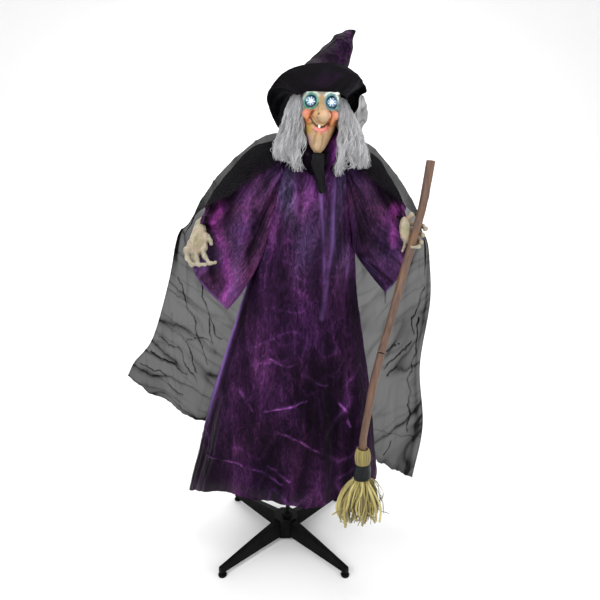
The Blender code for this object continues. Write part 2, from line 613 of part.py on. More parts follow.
def make_hat():
    rows = []
    for z, a, b, x, y in ((1.634, 0.080, 0.112, 0.0, -0.030), (1.665, 0.074, 0.102, 0.001, -0.028),
                          (1.700, 0.065, 0.080, 0.006, -0.022), (1.728, 0.060, 0.064, 0.016, -0.016),
                          (1.762, 0.045, 0.048, 0.034, -0.006), (1.795, 0.034, 0.036, 0.054, 0.004),
                          (1.820, 0.020, 0.020, 0.073, 0.010), (1.838, 0.006, 0.006, 0.088, 0.014)):
        turn = [2 * math.pi * k / 22 for k in range(22)]
        rows.append([(x + a * math.cos(t), y + b * math.sin(t), z) for t in turn])
    crown = loft("hat_crown", rows, cap_last=True)
    adopt(crown, "hat_crown", HAT_SHEEN, neck)
    solidify(crown, 0.002)
    # Each spoke of the brim: direction in degrees, then the middle and the outer edge.
    spokes = [(0, (0.132, -0.020, 1.668), (0.124, -0.020, 1.592)), (45, (0.100, 0.085, 1.648), (0.125, 0.115, 1.605)),
              (90, (0.0, 0.130, 1.640), (0.0, 0.175, 1.605)), (135, (-0.110, 0.090, 1.636), (-0.145, 0.125, 1.580)),
              (180, (-0.160, -0.020, 1.645), (-0.168, -0.020, 1.535)), (225, (-0.125, -0.140, 1.662), (-0.160, -0.170, 1.570)),
              (270, (0.0, -0.176, 1.664), (0.0, -0.196, 1.706)), (315, (0.105, -0.140, 1.670), (0.128, -0.165, 1.640))]
    rows = [[], [], []]
    for degrees, middle, edge in spokes:
        angle = math.radians(degrees)
        rows[0].append((0.0795 * math.cos(angle), -0.030 + 0.1115 * math.sin(angle), 1.640))
        rows[1].append(middle)
        rows[2].append(edge)
    brim = loft("hat_brim", rows)
    adopt(brim, "hat_brim", HAT, neck)
    subdivide(brim, 2)
    hole = loft("brim_hole", [[(0.0812 * math.cos(a), -0.030 + 0.1132 * math.sin(a), z)
                               for a in (2 * math.pi * k / 40 for k in range(40))] for z in (1.60, 1.69)],
                cap_first=True, cap_last=True)
    solidify(brim, 0.0025, 0.0)
    boolean(brim, as_cutter(hole, neck))


def make_lock(name, stations, finish=HAIR):
    """A closed lock of hair from (x, y, z, half width, half depth) stations, top to bottom."""
    rows = []
    path = smooth_path([s[:3] for s in stations], 2)
    sizes = smooth_path([(s[3], s[4], 0.0) for s in stations], 2)
    for point, size in zip(path, sizes):
        turn = [2 * math.pi * k / 16 for k in range(16)]
        rows.append([point + Vector((size.x * math.cos(a), size.y * math.sin(a), 0.0)) for a in turn])
    lock = loft(name, rows, cap_first=True, cap_last=True)
    adopt(lock, name, finish, neck)


def make_hair():
    make_lock("hair_left", [(-0.086, -0.050, 1.612, 0.016, 0.036), (-0.098, -0.060, 1.560, 0.024, 0.040),
                            (-0.104, -0.085, 1.500, 0.034, 0.034), (-0.105, -0.112, 1.440, 0.038, 0.022),
                            (-0.092, -0.116, 1.390, 0.030, 0.017), (-0.074, -0.112, 1.362, 0.012, 0.008)])
    make_lock("hair_right", [(0.086, -0.050, 1.612, 0.016, 0.036), (0.094, -0.060, 1.560, 0.022, 0.040),
                             (0.108, -0.092, 1.500, 0.030, 0.028), (0.104, -0.112, 1.440, 0.038, 0.022),
                             (0.100, -0.116, 1.390, 0.036, 0.017), (0.094, -0.112, 1.350, 0.026, 0.008)])
    make_lock("hair_back", [(0.0, 0.085, 1.615, 0.046, 0.006), (0.0, 0.090, 1.560, 0.056, 0.008),
                            (0.0, 0.108, 1.500, 0.060, 0.006), (0.0, 0.116, 1.440, 0.062, 0.007),
                            (0.0, 0.118, 1.385, 0.056, 0.006)])


# ---------------------------------------------------------------- clothes
def make_robe():
    """The long robe, a thin shell open at the hem and the neck, in world axes."""
    # centre x, centre z, slope of the row along X, half width, half depth
    rows = []
    lower = [(-0.011, 0.230, 0.134, 0.354, 0.140), (0.004, 0.380, 0.080, 0.325, 0.134),
             (0.022, 0.565, 0.030, 0.291, 0.124), (0.042, 0.780, 0.0, 0.240, 0.110),
             (0.062, 0.980, -0.030, 0.192, 0.100), (0.085, 1.160, -0.060, 0.158, 0.094)]
    upper = [(1.372, 0.127, 0.085), (1.420, 0.127, 0.080), (1.455, 0.122, 0.072), (1.478, 0.108, 0.062),
             (1.489, 0.080, 0.054), (1.494, 0.055, 0.046)]
    lean = math.tan(LEAN)
    for z, half, depth in upper:
        lower.append((z * math.sin(LEAN), z * math.cos(LEAN), -lean, half, depth))
    for x, z, slope, half, depth in lower:
        turn = [2 * math.pi * k / 28 for k in range(28)]
        rows.append([(x + half * math.cos(a), depth * math.sin(a), z + slope * half * math.cos(a)) for a in turn])
    robe = loft("robe", rows)
    adopt(robe, "robe", ROBE)
    solidify(robe, 0.002)
    for side in (-1, 1):
        armhole = cylinder("armhole", 0.026, 0.09, 24)
        boolean(robe, as_cutter(armhole, waist, at=(side * 0.130, SHOULDER_Y - 0.004, SHOULDER_Z), turn=(0.0, math.pi / 2, 0.0)))


def make_sleeve(name, side, stations):
    """A bell sleeve: flat oval rings between a top line and a hanging line, open at both ends."""
    rows = []
    tops = smooth_path([s[0] for s in stations], 2)
    lows = smooth_path([s[1] for s in stations], 2)
    extra = smooth_path([(s[2], s[3], 0.0) for s in stations], 2)
    for top, low, more in zip(tops, lows, extra):
        centre, half = (top + low) / 2, (top - low) / 2
        row = []
        for k in range(18):
            a = 2 * math.pi * k / 18
            bow = side * more.y * math.sin(a)
            row.append(centre + half * math.cos(a) + Vector((bow, more.x * math.sin(a), 0.0)))
        rows.append(row)
    sleeve = loft(name, rows)
    adopt(sleeve, name, SLEEVE, shoulder[side])
    solidify(sleeve, 0.002)


def make_sleeves():
    make_sleeve("sleeve_left", -1, [
        ((-0.136, 0.0, 1.474), (-0.134, 0.0, 1.384), 0.042, 0.0),
        ((-0.205, -0.02, 1.430), (-0.154, -0.015, 1.270), 0.050, 0.004),
        ((-0.262, -0.055, 1.350), (-0.170, -0.035, 1.140), 0.055, 0.015),
        ((-0.305, -0.103, 1.284), (-0.208, -0.055, 1.000), 0.058, 0.030),
        ((-0.330, -0.135, 1.250), (-0.262, -0.085, 0.915), 0.060, 0.046)])
    make_sleeve("sleeve_right", 1, [
        ((0.136, 0.0, 1.474), (0.134, 0.0, 1.384), 0.042, 0.0),
        ((0.190, -0.02, 1.440), (0.152, -0.015, 1.290), 0.050, 0.002),
        ((0.228, -0.055, 1.385), (0.170, -0.040, 1.190), 0.052, 0.008),
        ((0.262, -0.098, 1.338), (0.205, -0.065, 1.090), 0.056, 0.020),
        ((0.286, -0.138, 1.300), (0.250, -0.100, 1.020), 0.058, 0.030)])


def make_collar():
    """The rolled cowl round the neck: low in front of the chest, high over the shoulders."""
    points = []
    for k in range(24):
        a = 2 * math.pi * k / 24
        front, back = max(0.0, -math.sin(a)), max(0.0, math.sin(a))
        points.append((0.086 * math.cos(a), -0.020 + 0.082 * math.sin(a), 1.505 + 0.008 * back - 0.094 * front ** 2))
    adopt(wire("collar", points, 0.010, cyclic=True), "collar", COLLAR, waist)


def make_ribbon():
    rows = []
    for x, z, half in ((-0.002, 1.396, 0.030), (0.010, 1.370, 0.022), (0.024, 1.340, 0.016), (0.030, 1.322, 0.013)):
        rows.append([(x - half, -0.094, z), (x, -0.097, z), (x + half, -0.094, z)])
    ribbon = loft("ribbon_tie", rows, closed_rows=False)
    adopt(ribbon, "ribbon_tie", RIBBON, waist)
    solidify(ribbon, 0.0015, 0.0)


# One row of the cape: left and right ends, heights at left, middle and right, front edge and
# back depths, and how far round the body the row wraps, in degrees either side of the back.
CAPE_ROWS = [(-0.110, 0.110, 1.503, 1.500, 1.503, -0.045, 0.096, 110),
             (-0.220, 0.212, 1.474, 1.440, 1.474, -0.050, 0.100, 105),
             (-0.331, 0.322, 1.350, 1.330, 1.355, -0.080, 0.104, 100),
             (-0.440, 0.412, 1.135, 1.130, 1.166, -0.010, 0.114, 75),
             (-0.500, 0.458, 0.950, 0.940, 0.950, 0.040, 0.125, 65),
             (-0.552, 0.463, 0.740, 0.700, 0.680, 0.070, 0.140, 60),
             (-0.610, 0.512, 0.640, 0.500, 0.440, 0.090, 0.155, 60),
             (-0.654, 0.499, 0.575, 0.340, 0.218, 0.100, 0.170, 60)]


def make_cape():
    rows = []
    for left, right, z_left, z_mid, z_right, y_edge, y_back, wrap in CAPE_ROWS:
        limit = math.radians(wrap)
        centre, half = (left + right) / 2, (right - left) / 2 / math.sin(min(limit, math.pi / 2))
        row = []
        for k in range(13):
            share = k / 6 - 1.0
            a = limit * share
            depth = y_back - (y_back - y_edge) * (1 - math.cos(a)) / (1 - math.cos(limit))
            end = z_right if share > 0 else z_left
            row.append((centre + half * math.sin(a), depth, z_mid + (end - z_mid) * abs(share) ** 1.5))
        rows.append(row)
    cape = loft("cape", rows, closed_rows=False)
    adopt(cape, "cape", GAUZE, waist)
    subdivide(cape, 1)
    solidify(cape, 0.002, 0.0)


# ---------------------------------------------------------------- arms and hands
def join_limbs(base, others):
    for other in others:
        boolean(base, other, "UNION")


def make_arm(name, side, points):
    rod = wire(name, smooth_path(points, 3), ARM_ROD_R)
    adopt(rod, name, BLACK_STEEL, shoulder[side])


def make_hand(name, side, palm, fingers):
    """A moulded hand: a tapering palm united with its fingers."""
    body = limb(name, palm, 10)
    adopt(body, name, BONE, shoulder[side])
    join_limbs(body, [as_cutter(limb("finger", finger), shoulder[side]) for finger in fingers])


def make_left_arm():
    make_arm("arm_rod_left", -1, [(-0.082, SHOULDER_Y, SHOULDER_Z), (-0.148, SHOULDER_Y, SHOULDER_Z),
                                  (-0.160, SHOULDER_Y, SHOULDER_Z), (-0.193, 0.002, 1.392), (-0.240, -0.055, 1.300), (-0.300, -0.158, 1.208)])
    palm = [((-0.303, -0.164, 1.204), 0.013), ((-0.322, -0.176, 1.186), 0.018), ((-0.338, -0.186, 1.160), 0.025),
            ((-0.346, -0.194, 1.130), 0.024)]
    fingers = [[((-0.352, -0.196, 1.132), 0.010), ((-0.372, -0.206, 1.104), 0.0085), ((-0.352, -0.224, 1.080), 0.007)],
               [((-0.342, -0.200, 1.128), 0.010), ((-0.342, -0.218, 1.098), 0.0085), ((-0.322, -0.232, 1.080), 0.007)],
               [((-0.332, -0.196, 1.130), 0.010), ((-0.316, -0.214, 1.104), 0.0085), ((-0.294, -0.226, 1.088), 0.007)],
               [((-0.330, -0.186, 1.158), 0.010), ((-0.304, -0.198, 1.140), 0.0085), ((-0.290, -0.216, 1.126), 0.007)]]
    make_hand("hand_left", -1, palm, fingers)


def grip_frame():
    """Origin, and unit vectors up the handle, to its right and towards the viewer, in the figure frame."""
    turn = Matrix.Rotation(-LEAN, 4, "Y")
    low, high = turn @ GRIP_BOTTOM, turn @ GRIP_TOP
    up = (high - low).normalized()
    right = Vector((1.0, 0.0, 0.0))
    right = (right - up * right.dot(up)).normalized()
    return (low + high) / 2, up, right, right.cross(up)


def make_right_arm():
    centre, up, right, front = grip_frame()

    def at(along, degrees, reach):
        a = math.radians(degrees)
        return centre + up * along + (right * math.cos(a) + front * math.sin(a)) * reach

    make_arm("arm_rod_right", 1, [(0.082, SHOULDER_Y, SHOULDER_Z), (0.148, SHOULDER_Y, SHOULDER_Z),
                                  (0.158, SHOULDER_Y, SHOULDER_Z), (0.185, 0.002, 1.400), (0.215, -0.055, 1.330),
                                  (0.255, -0.110, 1.272), (0.284, -0.172, 1.256)])
    palm = [((0.286, -0.178, 1.255), 0.013), (at(0.032, 166, 0.040), 0.019), (at(0.006, 156, 0.038), 0.022),
            (at(-0.022, 150, 0.036), 0.018)]
    fingers = []
    for along, reach in ((0.038, 0.0255), (0.021, 0.025), (0.003, 0.025), (-0.017, 0.025)):
        fingers.append([(at(along, 140, 0.034), 0.009), (at(along - 0.002, 90, reach), 0.008),
                        (at(along - 0.006, 30, reach), 0.0075), (at(along - 0.010, -20, reach), 0.0068),
                        (at(along - 0.012, -58, reach), 0.0058)])
    thumb = [(at(0.038, 186, 0.038), 0.011), (at(0.036, 220, 0.032), 0.009), (at(0.030, 250, 0.027), 0.0075)]
    make_hand("hand_right", 1, palm, fingers + [thumb])


# ---------------------------------------------------------------- broom
def make_broom():
    joint = Vector((0.3030, -0.270, 0.838))
    handle_end = Vector((BROOM_HEAD.x, BROOM_HEAD.y, 0.512))
    slide = pivot("broom_axis", (0.0, 0.0, 0.0))
    axis = (GRIP_TOP - GRIP_BOTTOM).normalized()

    def stick(name, stations):
        made = limb(name, stations, 12)
        adopt(made, name, HANDLE, slide)

    upper = [(joint + Vector((0.001, 0.0008, 0.003)), HANDLE_R_LOW), (Vector((0.331, -0.250, 0.932)), 0.0117),
             (GRIP_BOTTOM - axis * 0.050, 0.0120), (GRIP_BOTTOM, 0.0120), ((GRIP_BOTTOM + GRIP_TOP) / 2, 0.0122),
             (GRIP_TOP, 0.0125), (Vector((0.436, -0.181, 1.335)), 0.0128), (Vector((0.446, -0.176, 1.405)), HANDLE_R_TOP)]
    stick("broom_handle_upper", upper)
    stick("broom_handle_lower", [(joint, HANDLE_R_LOW), (Vector((0.281, -0.279, 0.740)), 0.0118),
                                 (Vector((0.262, -0.286, 0.640)), 0.0112), (Vector((0.2485, -0.290, 0.560)), 0.0112),
                                 (handle_end, 0.0112)])
    at = (BROOM_HEAD.x, BROOM_HEAD.y, 0.0)
    hole = 0.0125
    knob = [(hole, 0.548), (0.016, 0.548), (0.0215, 0.538), (0.0235, 0.515), (0.0235, 0.4722), (0.0, 0.4722),
            (0.0, 0.508), (hole, 0.508)]
    adopt(turned("broom_knob", knob, 24, closed=True), "broom_knob", RAFFIA, slide, at=at)
    band = [(0.0250, 0.482), (0.0265, 0.478), (0.0265, 0.432), (0.0240, 0.430), (0.0240, 0.482)]
    adopt(turned("broom_band", band, 24, closed=True), "broom_band", TAPE, slide, at=at)
    bristles = [(0.0, 0.4715), (0.0235, 0.4715), (0.0235, 0.428), (0.038, 0.405), (0.055, 0.355), (0.061, 0.300),
                (0.046, 0.262), (0.020, 0.250), (0.0, 0.250)]
    adopt(turned("broom_bristles", bristles, 24), "broom_bristles", RAFFIA, slide, at=at)


# ---------------------------------------------------------------- build
make_hub()
for corner, sx, sy in leg_quadrants():
    make_leg(f"base_leg_{corner}", sx, sy)
    make_foot(f"foot_pad_{corner}", sx, sy)
make_pole()
sector_y = make_hip()
make_frame_plate()
make_sway_drive(sector_y)
housing_face = make_housings()
make_torso_contents(housing_face)
make_controls(housing_face)
make_yoke()
make_neck()
make_mask()
make_skull()
make_eyes()
make_hat()
make_hair()
make_robe()
make_sleeves()
make_collar()
make_ribbon()
make_cape()
make_left_arm()
make_right_arm()
make_broom()
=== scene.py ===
"""Looks of the animated witch figure: clothes, head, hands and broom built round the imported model.

Metres, +Z up, the viewer at -Y. Everything on the leaning upright is laid out in the figure frame,
whose Z runs up the upright, and fig() turns it into the row frame.
"""

import math

import bmesh
import bpy
import numpy as np
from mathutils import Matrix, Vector


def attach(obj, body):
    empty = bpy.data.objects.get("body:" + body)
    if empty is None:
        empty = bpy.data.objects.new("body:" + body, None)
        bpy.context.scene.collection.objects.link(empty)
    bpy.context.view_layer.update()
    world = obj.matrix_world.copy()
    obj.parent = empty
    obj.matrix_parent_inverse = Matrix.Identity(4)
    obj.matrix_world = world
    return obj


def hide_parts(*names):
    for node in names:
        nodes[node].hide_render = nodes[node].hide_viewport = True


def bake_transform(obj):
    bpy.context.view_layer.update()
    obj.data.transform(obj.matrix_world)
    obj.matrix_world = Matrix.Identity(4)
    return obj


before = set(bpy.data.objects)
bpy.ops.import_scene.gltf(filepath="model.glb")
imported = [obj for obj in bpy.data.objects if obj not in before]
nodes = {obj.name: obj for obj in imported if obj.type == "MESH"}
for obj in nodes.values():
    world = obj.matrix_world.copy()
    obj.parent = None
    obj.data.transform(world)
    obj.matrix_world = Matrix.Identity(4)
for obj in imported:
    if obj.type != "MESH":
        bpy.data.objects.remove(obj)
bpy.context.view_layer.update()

LEAN = math.radians(4.4)
SIN, COS = math.sin(LEAN), math.cos(LEAN)
TAU = 2 * math.pi
# Where the broom's head stands.
BROOM_X, BROOM_Y = 0.254, -0.290
# Voxels of the melted skins.
FACE_VOXEL, HAND_VOXEL = 0.0014, 0.0013


# ---------------------------------------------------------------- number helpers
def fig(points):
    """Figure-frame points as row-frame points."""
    p = np.asarray(points, float)
    return np.stack([p[..., 0] * COS + p[..., 2] * SIN, p[..., 1], -p[..., 0] * SIN + p[..., 2] * COS], -1)


def mm(values):
    """A table in millimetres, in metres."""
    return np.array(values) / 1000


def unfig(points):
    """Row-frame points as figure-frame points."""
    p = np.asarray(points, float)
    return np.stack([p[..., 0] * COS - p[..., 2] * SIN, p[..., 1], p[..., 0] * SIN + p[..., 2] * COS], -1)


def noise(points, seed=0):
    """Gradient noise, about -1 to 1, at points (..., 3)."""
    rng = np.random.default_rng(seed)
    table = rng.permutation(256)
    slopes = rng.normal(size=(256, 3))
    slopes /= np.linalg.norm(slopes, axis=1)[:, None]
    p = np.asarray(points, float)
    cell = np.floor(p).astype(int)
    part = p - cell
    ease = part ** 3 * (part * (part * 6 - 15) + 10)
    total = np.zeros(p.shape[:-1])
    for corner in np.ndindex(2, 2, 2):
        c = cell + corner
        pick = table[(table[(table[c[..., 0] & 255] + c[..., 1]) & 255] + c[..., 2]) & 255]
        weight = np.prod(np.where(np.array(corner) == 1, ease, 1 - ease), -1)
        total += weight * ((part - corner) * slopes[pick]).sum(-1)
    return total * 1.7


def waver(points, scale, seed):
    """Noise in two directions, to make drawn lines waver."""
    return np.stack([noise(points * scale, seed), noise(points * scale, seed + 1)], -1)


def crinkle(points, seed=0):
    """Sharp ridges between flat cells, 0 to 1, as in crushed sheer cloth."""
    p = np.asarray(points, float)
    bent = p + 0.6 * np.stack([noise(p * 0.7, seed + k) for k in (1, 2, 3)], -1)
    return np.clip(1 - 2.6 * np.abs(noise(bent, seed)), 0, 1) ** 2


def between(a, b, c, d, f):
    """The point a share f of the way from b to c, on a smooth curve through a, b, c and d."""
    return 0.5 * (2 * b + (c - a) * f + (2 * a - 5 * b + 4 * c - d) * f ** 2 + (3 * b - 3 * c + d - a) * f ** 3)


def through(keys, count):
    """count samples, evenly in the keys' own numbering, of a smooth curve through keys."""
    keys = np.asarray(keys, float)
    k = np.concatenate([2 * keys[:1] - keys[1:2], keys, 2 * keys[-1:] - keys[-2:-1]])
    t = np.linspace(0, len(keys) - 1, count)
    i = np.minimum(t.astype(int), len(keys) - 2)
    f = (t - i).reshape((-1,) + (1,) * (keys.ndim - 1))
    return between(k[i], k[i + 1], k[i + 2], k[i + 3], f)


def looped(keys, count):
    """The same round a closed ring of keys."""
    keys = np.asarray(keys, float)
    n = len(keys)
    t = np.arange(count) * n / count
    i = t.astype(int)
    f = (t - i).reshape((-1,) + (1,) * (keys.ndim - 1))
    return between(keys[(i - 1) % n], keys[i % n], keys[(i + 1) % n], keys[(i + 2) % n], f)


def surface(keys, rows, cols):
    """A smooth rows by cols surface through a table of points."""
    line = through(keys, rows)
    return np.swapaxes(through(np.swapaxes(line, 0, 1), cols), 0, 1)


def smooth(x, low, high):
    """0 at low, 1 at high, eased between them."""
    t = np.clip((np.asarray(x, float) - low) / (high - low), 0, 1)
    return t * t * (3 - 2 * t)


def to_line(points, line):
    """Distance from points (..., k) to a polyline (n, k)."""
    p = np.asarray(points, float)
    line = np.asarray(line, float)
    best = np.full(p.shape[:-1], 1e9)
    for a, b in zip(line, line[1:]):
        d = b - a
        t = np.clip(((p - a) @ d) / (d @ d), 0, 1)
        best = np.minimum(best, np.linalg.norm(p - a - t[..., None] * d, axis=-1))
    return best


def bell(distance, width):
    """1 at no distance, falling off over width."""
    return np.exp(-(distance / width) ** 2)


def dot(points, centre, size):
    """A soft round spot: 1 at the centre, falling off over size."""
    d = (np.asarray(points, float) - centre) / size
    return np.exp(-(d ** 2).sum(-1))


def turns_and_heights(rows, cols):
    """Angles round a piece and heights from 0 to 1, as two rows by cols tables."""
    return np.meshgrid(np.arange(cols) * TAU / cols, np.linspace(0, 1, rows))


def round_place(a, reach, height):
    """Where to read noise round a piece, so that it joins up with itself."""
    return np.stack([np.cos(a) * reach, np.sin(a) * reach, height], -1)


def row_normals(points, wrap):
    """Unit normals of a grid of points."""
    along = np.gradient(points, axis=0)
    if wrap:
        across = (np.roll(points, -1, 1) - np.roll(points, 1, 1)) / 2
    else:
        across = np.gradient(points, axis=1)
    n = np.cross(across, along)
    return n / np.maximum(np.linalg.norm(n, axis=-1, keepdims=True), 1e-12)


# ---------------------------------------------------------------- mesh helpers
def mesh_object(name, points, faces, material=None):
    mesh = bpy.data.meshes.new(name)
    mesh.from_pydata(np.asarray(points, float).reshape(-1, 3).tolist(), [], [list(map(int, f)) for f in faces])
    mesh.validate()
    obj = bpy.data.objects.new(name, mesh)
    bpy.context.scene.collection.objects.link(obj)
    mesh.shade_smooth()
    if material:
        mesh.materials.append(material)
    return obj


def grid_faces(rows, cols, wrap=False, start=0, closed=False):
    """Quads between the rows of a grid whose points are numbered from start."""
    index = np.arange(rows * cols).reshape(rows, cols) + start
    if closed:
        index = np.concatenate([index, index[:1]])
    left = index if wrap else index[:, :-1]
    right = np.roll(index, -1, 1) if wrap else index[:, 1:]
    return np.stack([left[:-1], right[:-1], right[1:], left[1:]], -1).reshape(-1, 4)


def grid(name, points, wrap=False, material=None, closed=False):
    """A piece from rows of points. wrap joins each row into a ring, closed joins the last row to the first."""
    rows, cols = points.shape[:2]
    return mesh_object(name, points, grid_faces(rows, cols, wrap, 0, closed), material)


def paint(obj, name, values):
    """A per-point colour (n, 3) or number (n,) that the piece's material reads."""
    values = np.asarray(values, float)
    if values.ndim == 1:
        layer = obj.data.attributes.new(name, "FLOAT", "POINT")
        layer.data.foreach_set("value", values.astype(np.float32))
    else:
        layer = obj.data.attributes.new(name, "FLOAT_COLOR", "POINT")
        full = np.concatenate([values, np.ones((len(values), 1))], 1)
        layer.data.foreach_set("color", full.astype(np.float32).ravel())


def points_of(obj):
    co = np.zeros(len(obj.data.vertices) * 3, np.float32)
    obj.data.vertices.foreach_get("co", co)
    return co.reshape(-1, 3).astype(float)


def set_points(obj, points):
    obj.data.vertices.foreach_set("co", np.asarray(points, np.float32).ravel())
    obj.data.update()


def apply_modifiers(obj):
    graph = bpy.context.evaluated_depsgraph_get()
    made = bpy.data.meshes.new_from_object(obj.evaluated_get(graph))
    old = obj.data
    obj.modifiers.clear()
    obj.data = made
    obj.data.name = obj.name
    bpy.data.meshes.remove(old)
    return obj


def tube_points(path, radii, sides, flat=1.0, side=(0.31, 0.94, 0.12)):
    """Rings of a tube along path. side is its first axis, and flat squeezes it across its second."""
    path = np.asarray(path, float)
    ahead = np.gradient(path, axis=0)
    ahead /= np.linalg.norm(ahead, axis=1)[:, None]
    side = np.asarray(side, float)
    turn = np.arange(sides) * TAU / sides
    rings = []
    for point, direction, radius in zip(path, ahead, radii):
        side = side - direction * (side @ direction)
        side /= np.linalg.norm(side)
        other = np.cross(direction, side)
        rings.append(point + radius * (np.cos(turn)[:, None] * side + flat * np.sin(turn)[:, None] * other))
    return np.array(rings)


def tube_faces(rows, sides, start=0):
    faces = [list(f) for f in grid_faces(rows, sides, True, start)]
    first = list(range(start, start + sides))
    last = [start + (rows - 1) * sides + k for k in range(sides)]
    return faces + [first[::-1], last]


def bundle(name, tubes, material):
    """Many closed tubes as one piece. tubes holds what tube_points takes."""
    points, faces, start = [], [], 0
    for path, radii, sides, *shape in tubes:
        rings = tube_points(path, radii, sides, *shape)
        points.append(rings.reshape(-1, 3))
        faces.extend(tube_faces(len(rings), sides, start))
        start += rings.shape[0] * sides
    return mesh_object(name, np.concatenate(points), faces, material)


def ball_chain(stations, steps=5):
    """Overlapping balls along (x, y, z, radius) stations, as (centre, radii) pairs."""
    line = through(stations, (len(stations) - 1) * steps + 1)
    return [(p[:3], (p[3], p[3], p[3])) for p in line]


def melt(obj, voxel, relax):
    """One new skin round everything in obj, evened out relax times."""
    remesh = obj.modifiers.new("Remesh", "REMESH")
    remesh.mode, remesh.voxel_size = "VOXEL", voxel
    ease = obj.modifiers.new("Smooth", "SMOOTH")
    ease.iterations, ease.factor = relax, 0.5
    apply_modifiers(obj)
    obj.data.shade_smooth()


def blob(name, balls, voxel, relax, material):
    """Ellipsoids (centre, radii) melted into one closed skin."""
    bm = bmesh.new()
    for centre, radii in balls:
        made = bmesh.ops.create_icosphere(bm, subdivisions=3, radius=1.0)["verts"]
        bmesh.ops.scale(bm, vec=radii, verts=made)
        bmesh.ops.translate(bm, vec=centre, verts=made)
    mesh = bpy.data.meshes.new(name)
    bm.to_mesh(mesh)
    bm.free()
    obj = bpy.data.objects.new(name, mesh)
    bpy.context.scene.collection.objects.link(obj)
    melt(obj, voxel, relax)
    obj.data.materials.clear()
    obj.data.materials.append(material)
    return obj


# ---------------------------------------------------------------- material helpers
def add(tree, kind, **values):
    """A shader node; a value may be a number, a colour, another node's socket or a property."""
    node = tree.nodes.new("ShaderNode" + kind)
    for key, value in values.items():
        name = key.replace("_", " ")
        if name in node.inputs:
            put(tree, node.inputs[name], value)
        else:
            setattr(node, key, value)
    return node


def put(tree, socket, value):
    if isinstance(value, bpy.types.NodeSocket):
        tree.links.new(value, socket)
    elif isinstance(value, (tuple, list)) and len(value) == 3 and socket.type == "RGBA":
        socket.default_value = (*value, 1.0)
    else:
        socket.default_value = value


def ramp(tree, factor, stops):
    """A colour picked by factor between (place, colour) stops."""
    node = add(tree, "ValToRGB", Fac=factor)
    points = node.color_ramp.elements
    while len(points) < len(stops):
        points.new(0.5)
    for point, (place, colour) in zip(points, stops):
        point.position = place
        point.color = (*colour, 1.0)
    return node.outputs["Color"]


def grains(tree, scale, detail=4.0, stretch=(1.0, 1.0, 1.0), distortion=0.0):
    """Noise in the piece's own coordinates."""
    place = add(tree, "TexCoord").outputs["Object"]
    place = add(tree, "Mapping", Vector=place, Scale=stretch).outputs["Vector"]
    return add(tree, "TexNoise", Vector=place, Scale=scale, Detail=detail, Distortion=distortion).outputs["Fac"]


def attribute(tree, name, output="Fac"):
    """A layer painted on the piece, as a number or as a Color."""
    return add(tree, "Attribute", attribute_name=name).outputs[output]


def maths(tree, operation, *values, clamp=False):
    node = add(tree, "Math", operation=operation, use_clamp=clamp)
    for socket, value in zip(node.inputs, values):
        put(tree, socket, value)
    return node.outputs[0]


def mixed(tree, share, under, over, blend="MIX"):
    """Two colours in one."""
    node = add(tree, "Mix", data_type="RGBA", blend_type=blend)
    for socket, value in ((0, share), (6, under), (7, over)):
        put(tree, node.inputs[socket], value)
    return node.outputs[2]


def bumped(tree, height, strength, distance):
    return add(tree, "Bump", Height=height, Strength=strength, Distance=distance).outputs["Normal"]


def shader(name, roughness=0.5, **values):
    """A Principled material; its fixed values are set straight on the sockets."""
    material = bpy.data.materials.new(name)
    material.use_nodes = True
    tree = material.node_tree
    base = tree.nodes["Principled BSDF"]
    base.inputs["Roughness"].default_value = roughness
    for key, value in values.items():
        put(tree, base.inputs[key.replace("_", " ")], value)
    return material, tree, base


def coat(tree, base, colour, height, strength, distance):
    """Give a shader its colour and the fine relief of its surface."""
    put(tree, base.inputs["Base Color"], colour)
    put(tree, base.inputs["Normal"], bumped(tree, height, strength, distance))


def moulded(name, dark, light, roughness, scale=220.0, strength=0.25, **values):
    """Fine-grained material with slight colour variation, for plastic, steel, rubber and the like."""
    material, tree, base = shader(name, roughness, **values)
    fine = grains(tree, scale)
    broad = grains(tree, scale / 14)
    coat(tree, base, ramp(tree, broad, [(0.35, dark), (0.65, light)]), fine, strength, 0.0008)
    return material


def crushed(tree, scale):
    """Thin crumpled lines, strong in some places and absent in others."""
    place = add(tree, "TexCoord").outputs["Object"]
    drift = add(tree, "VectorMath", operation="MULTIPLY_ADD")
    put(tree, drift.inputs[0], add(tree, "TexNoise", Vector=place, Scale=17.0, Detail=4.0).outputs["Color"])
    drift.inputs[1].default_value = (0.075, 0.075, 0.075)
    put(tree, drift.inputs[2], place)
    flat = add(tree, "Mapping", Vector=drift.outputs[0], Scale=(1.0, 1.0, 0.36)).outputs["Vector"]
    edge = add(tree, "TexVoronoi", feature="DISTANCE_TO_EDGE", Vector=flat, Scale=scale).outputs["Distance"]
    line = ramp(tree, edge, [(0.0, (1.0, 1.0, 1.0)), (0.055, (0.0, 0.0, 0.0))])
    some = ramp(tree, grains(tree, 11.0, 3.0), [(0.42, (0.0, 0.0, 0.0)), (0.62, (1.0, 1.0, 1.0))])
    return maths(tree, "MULTIPLY", line, some)


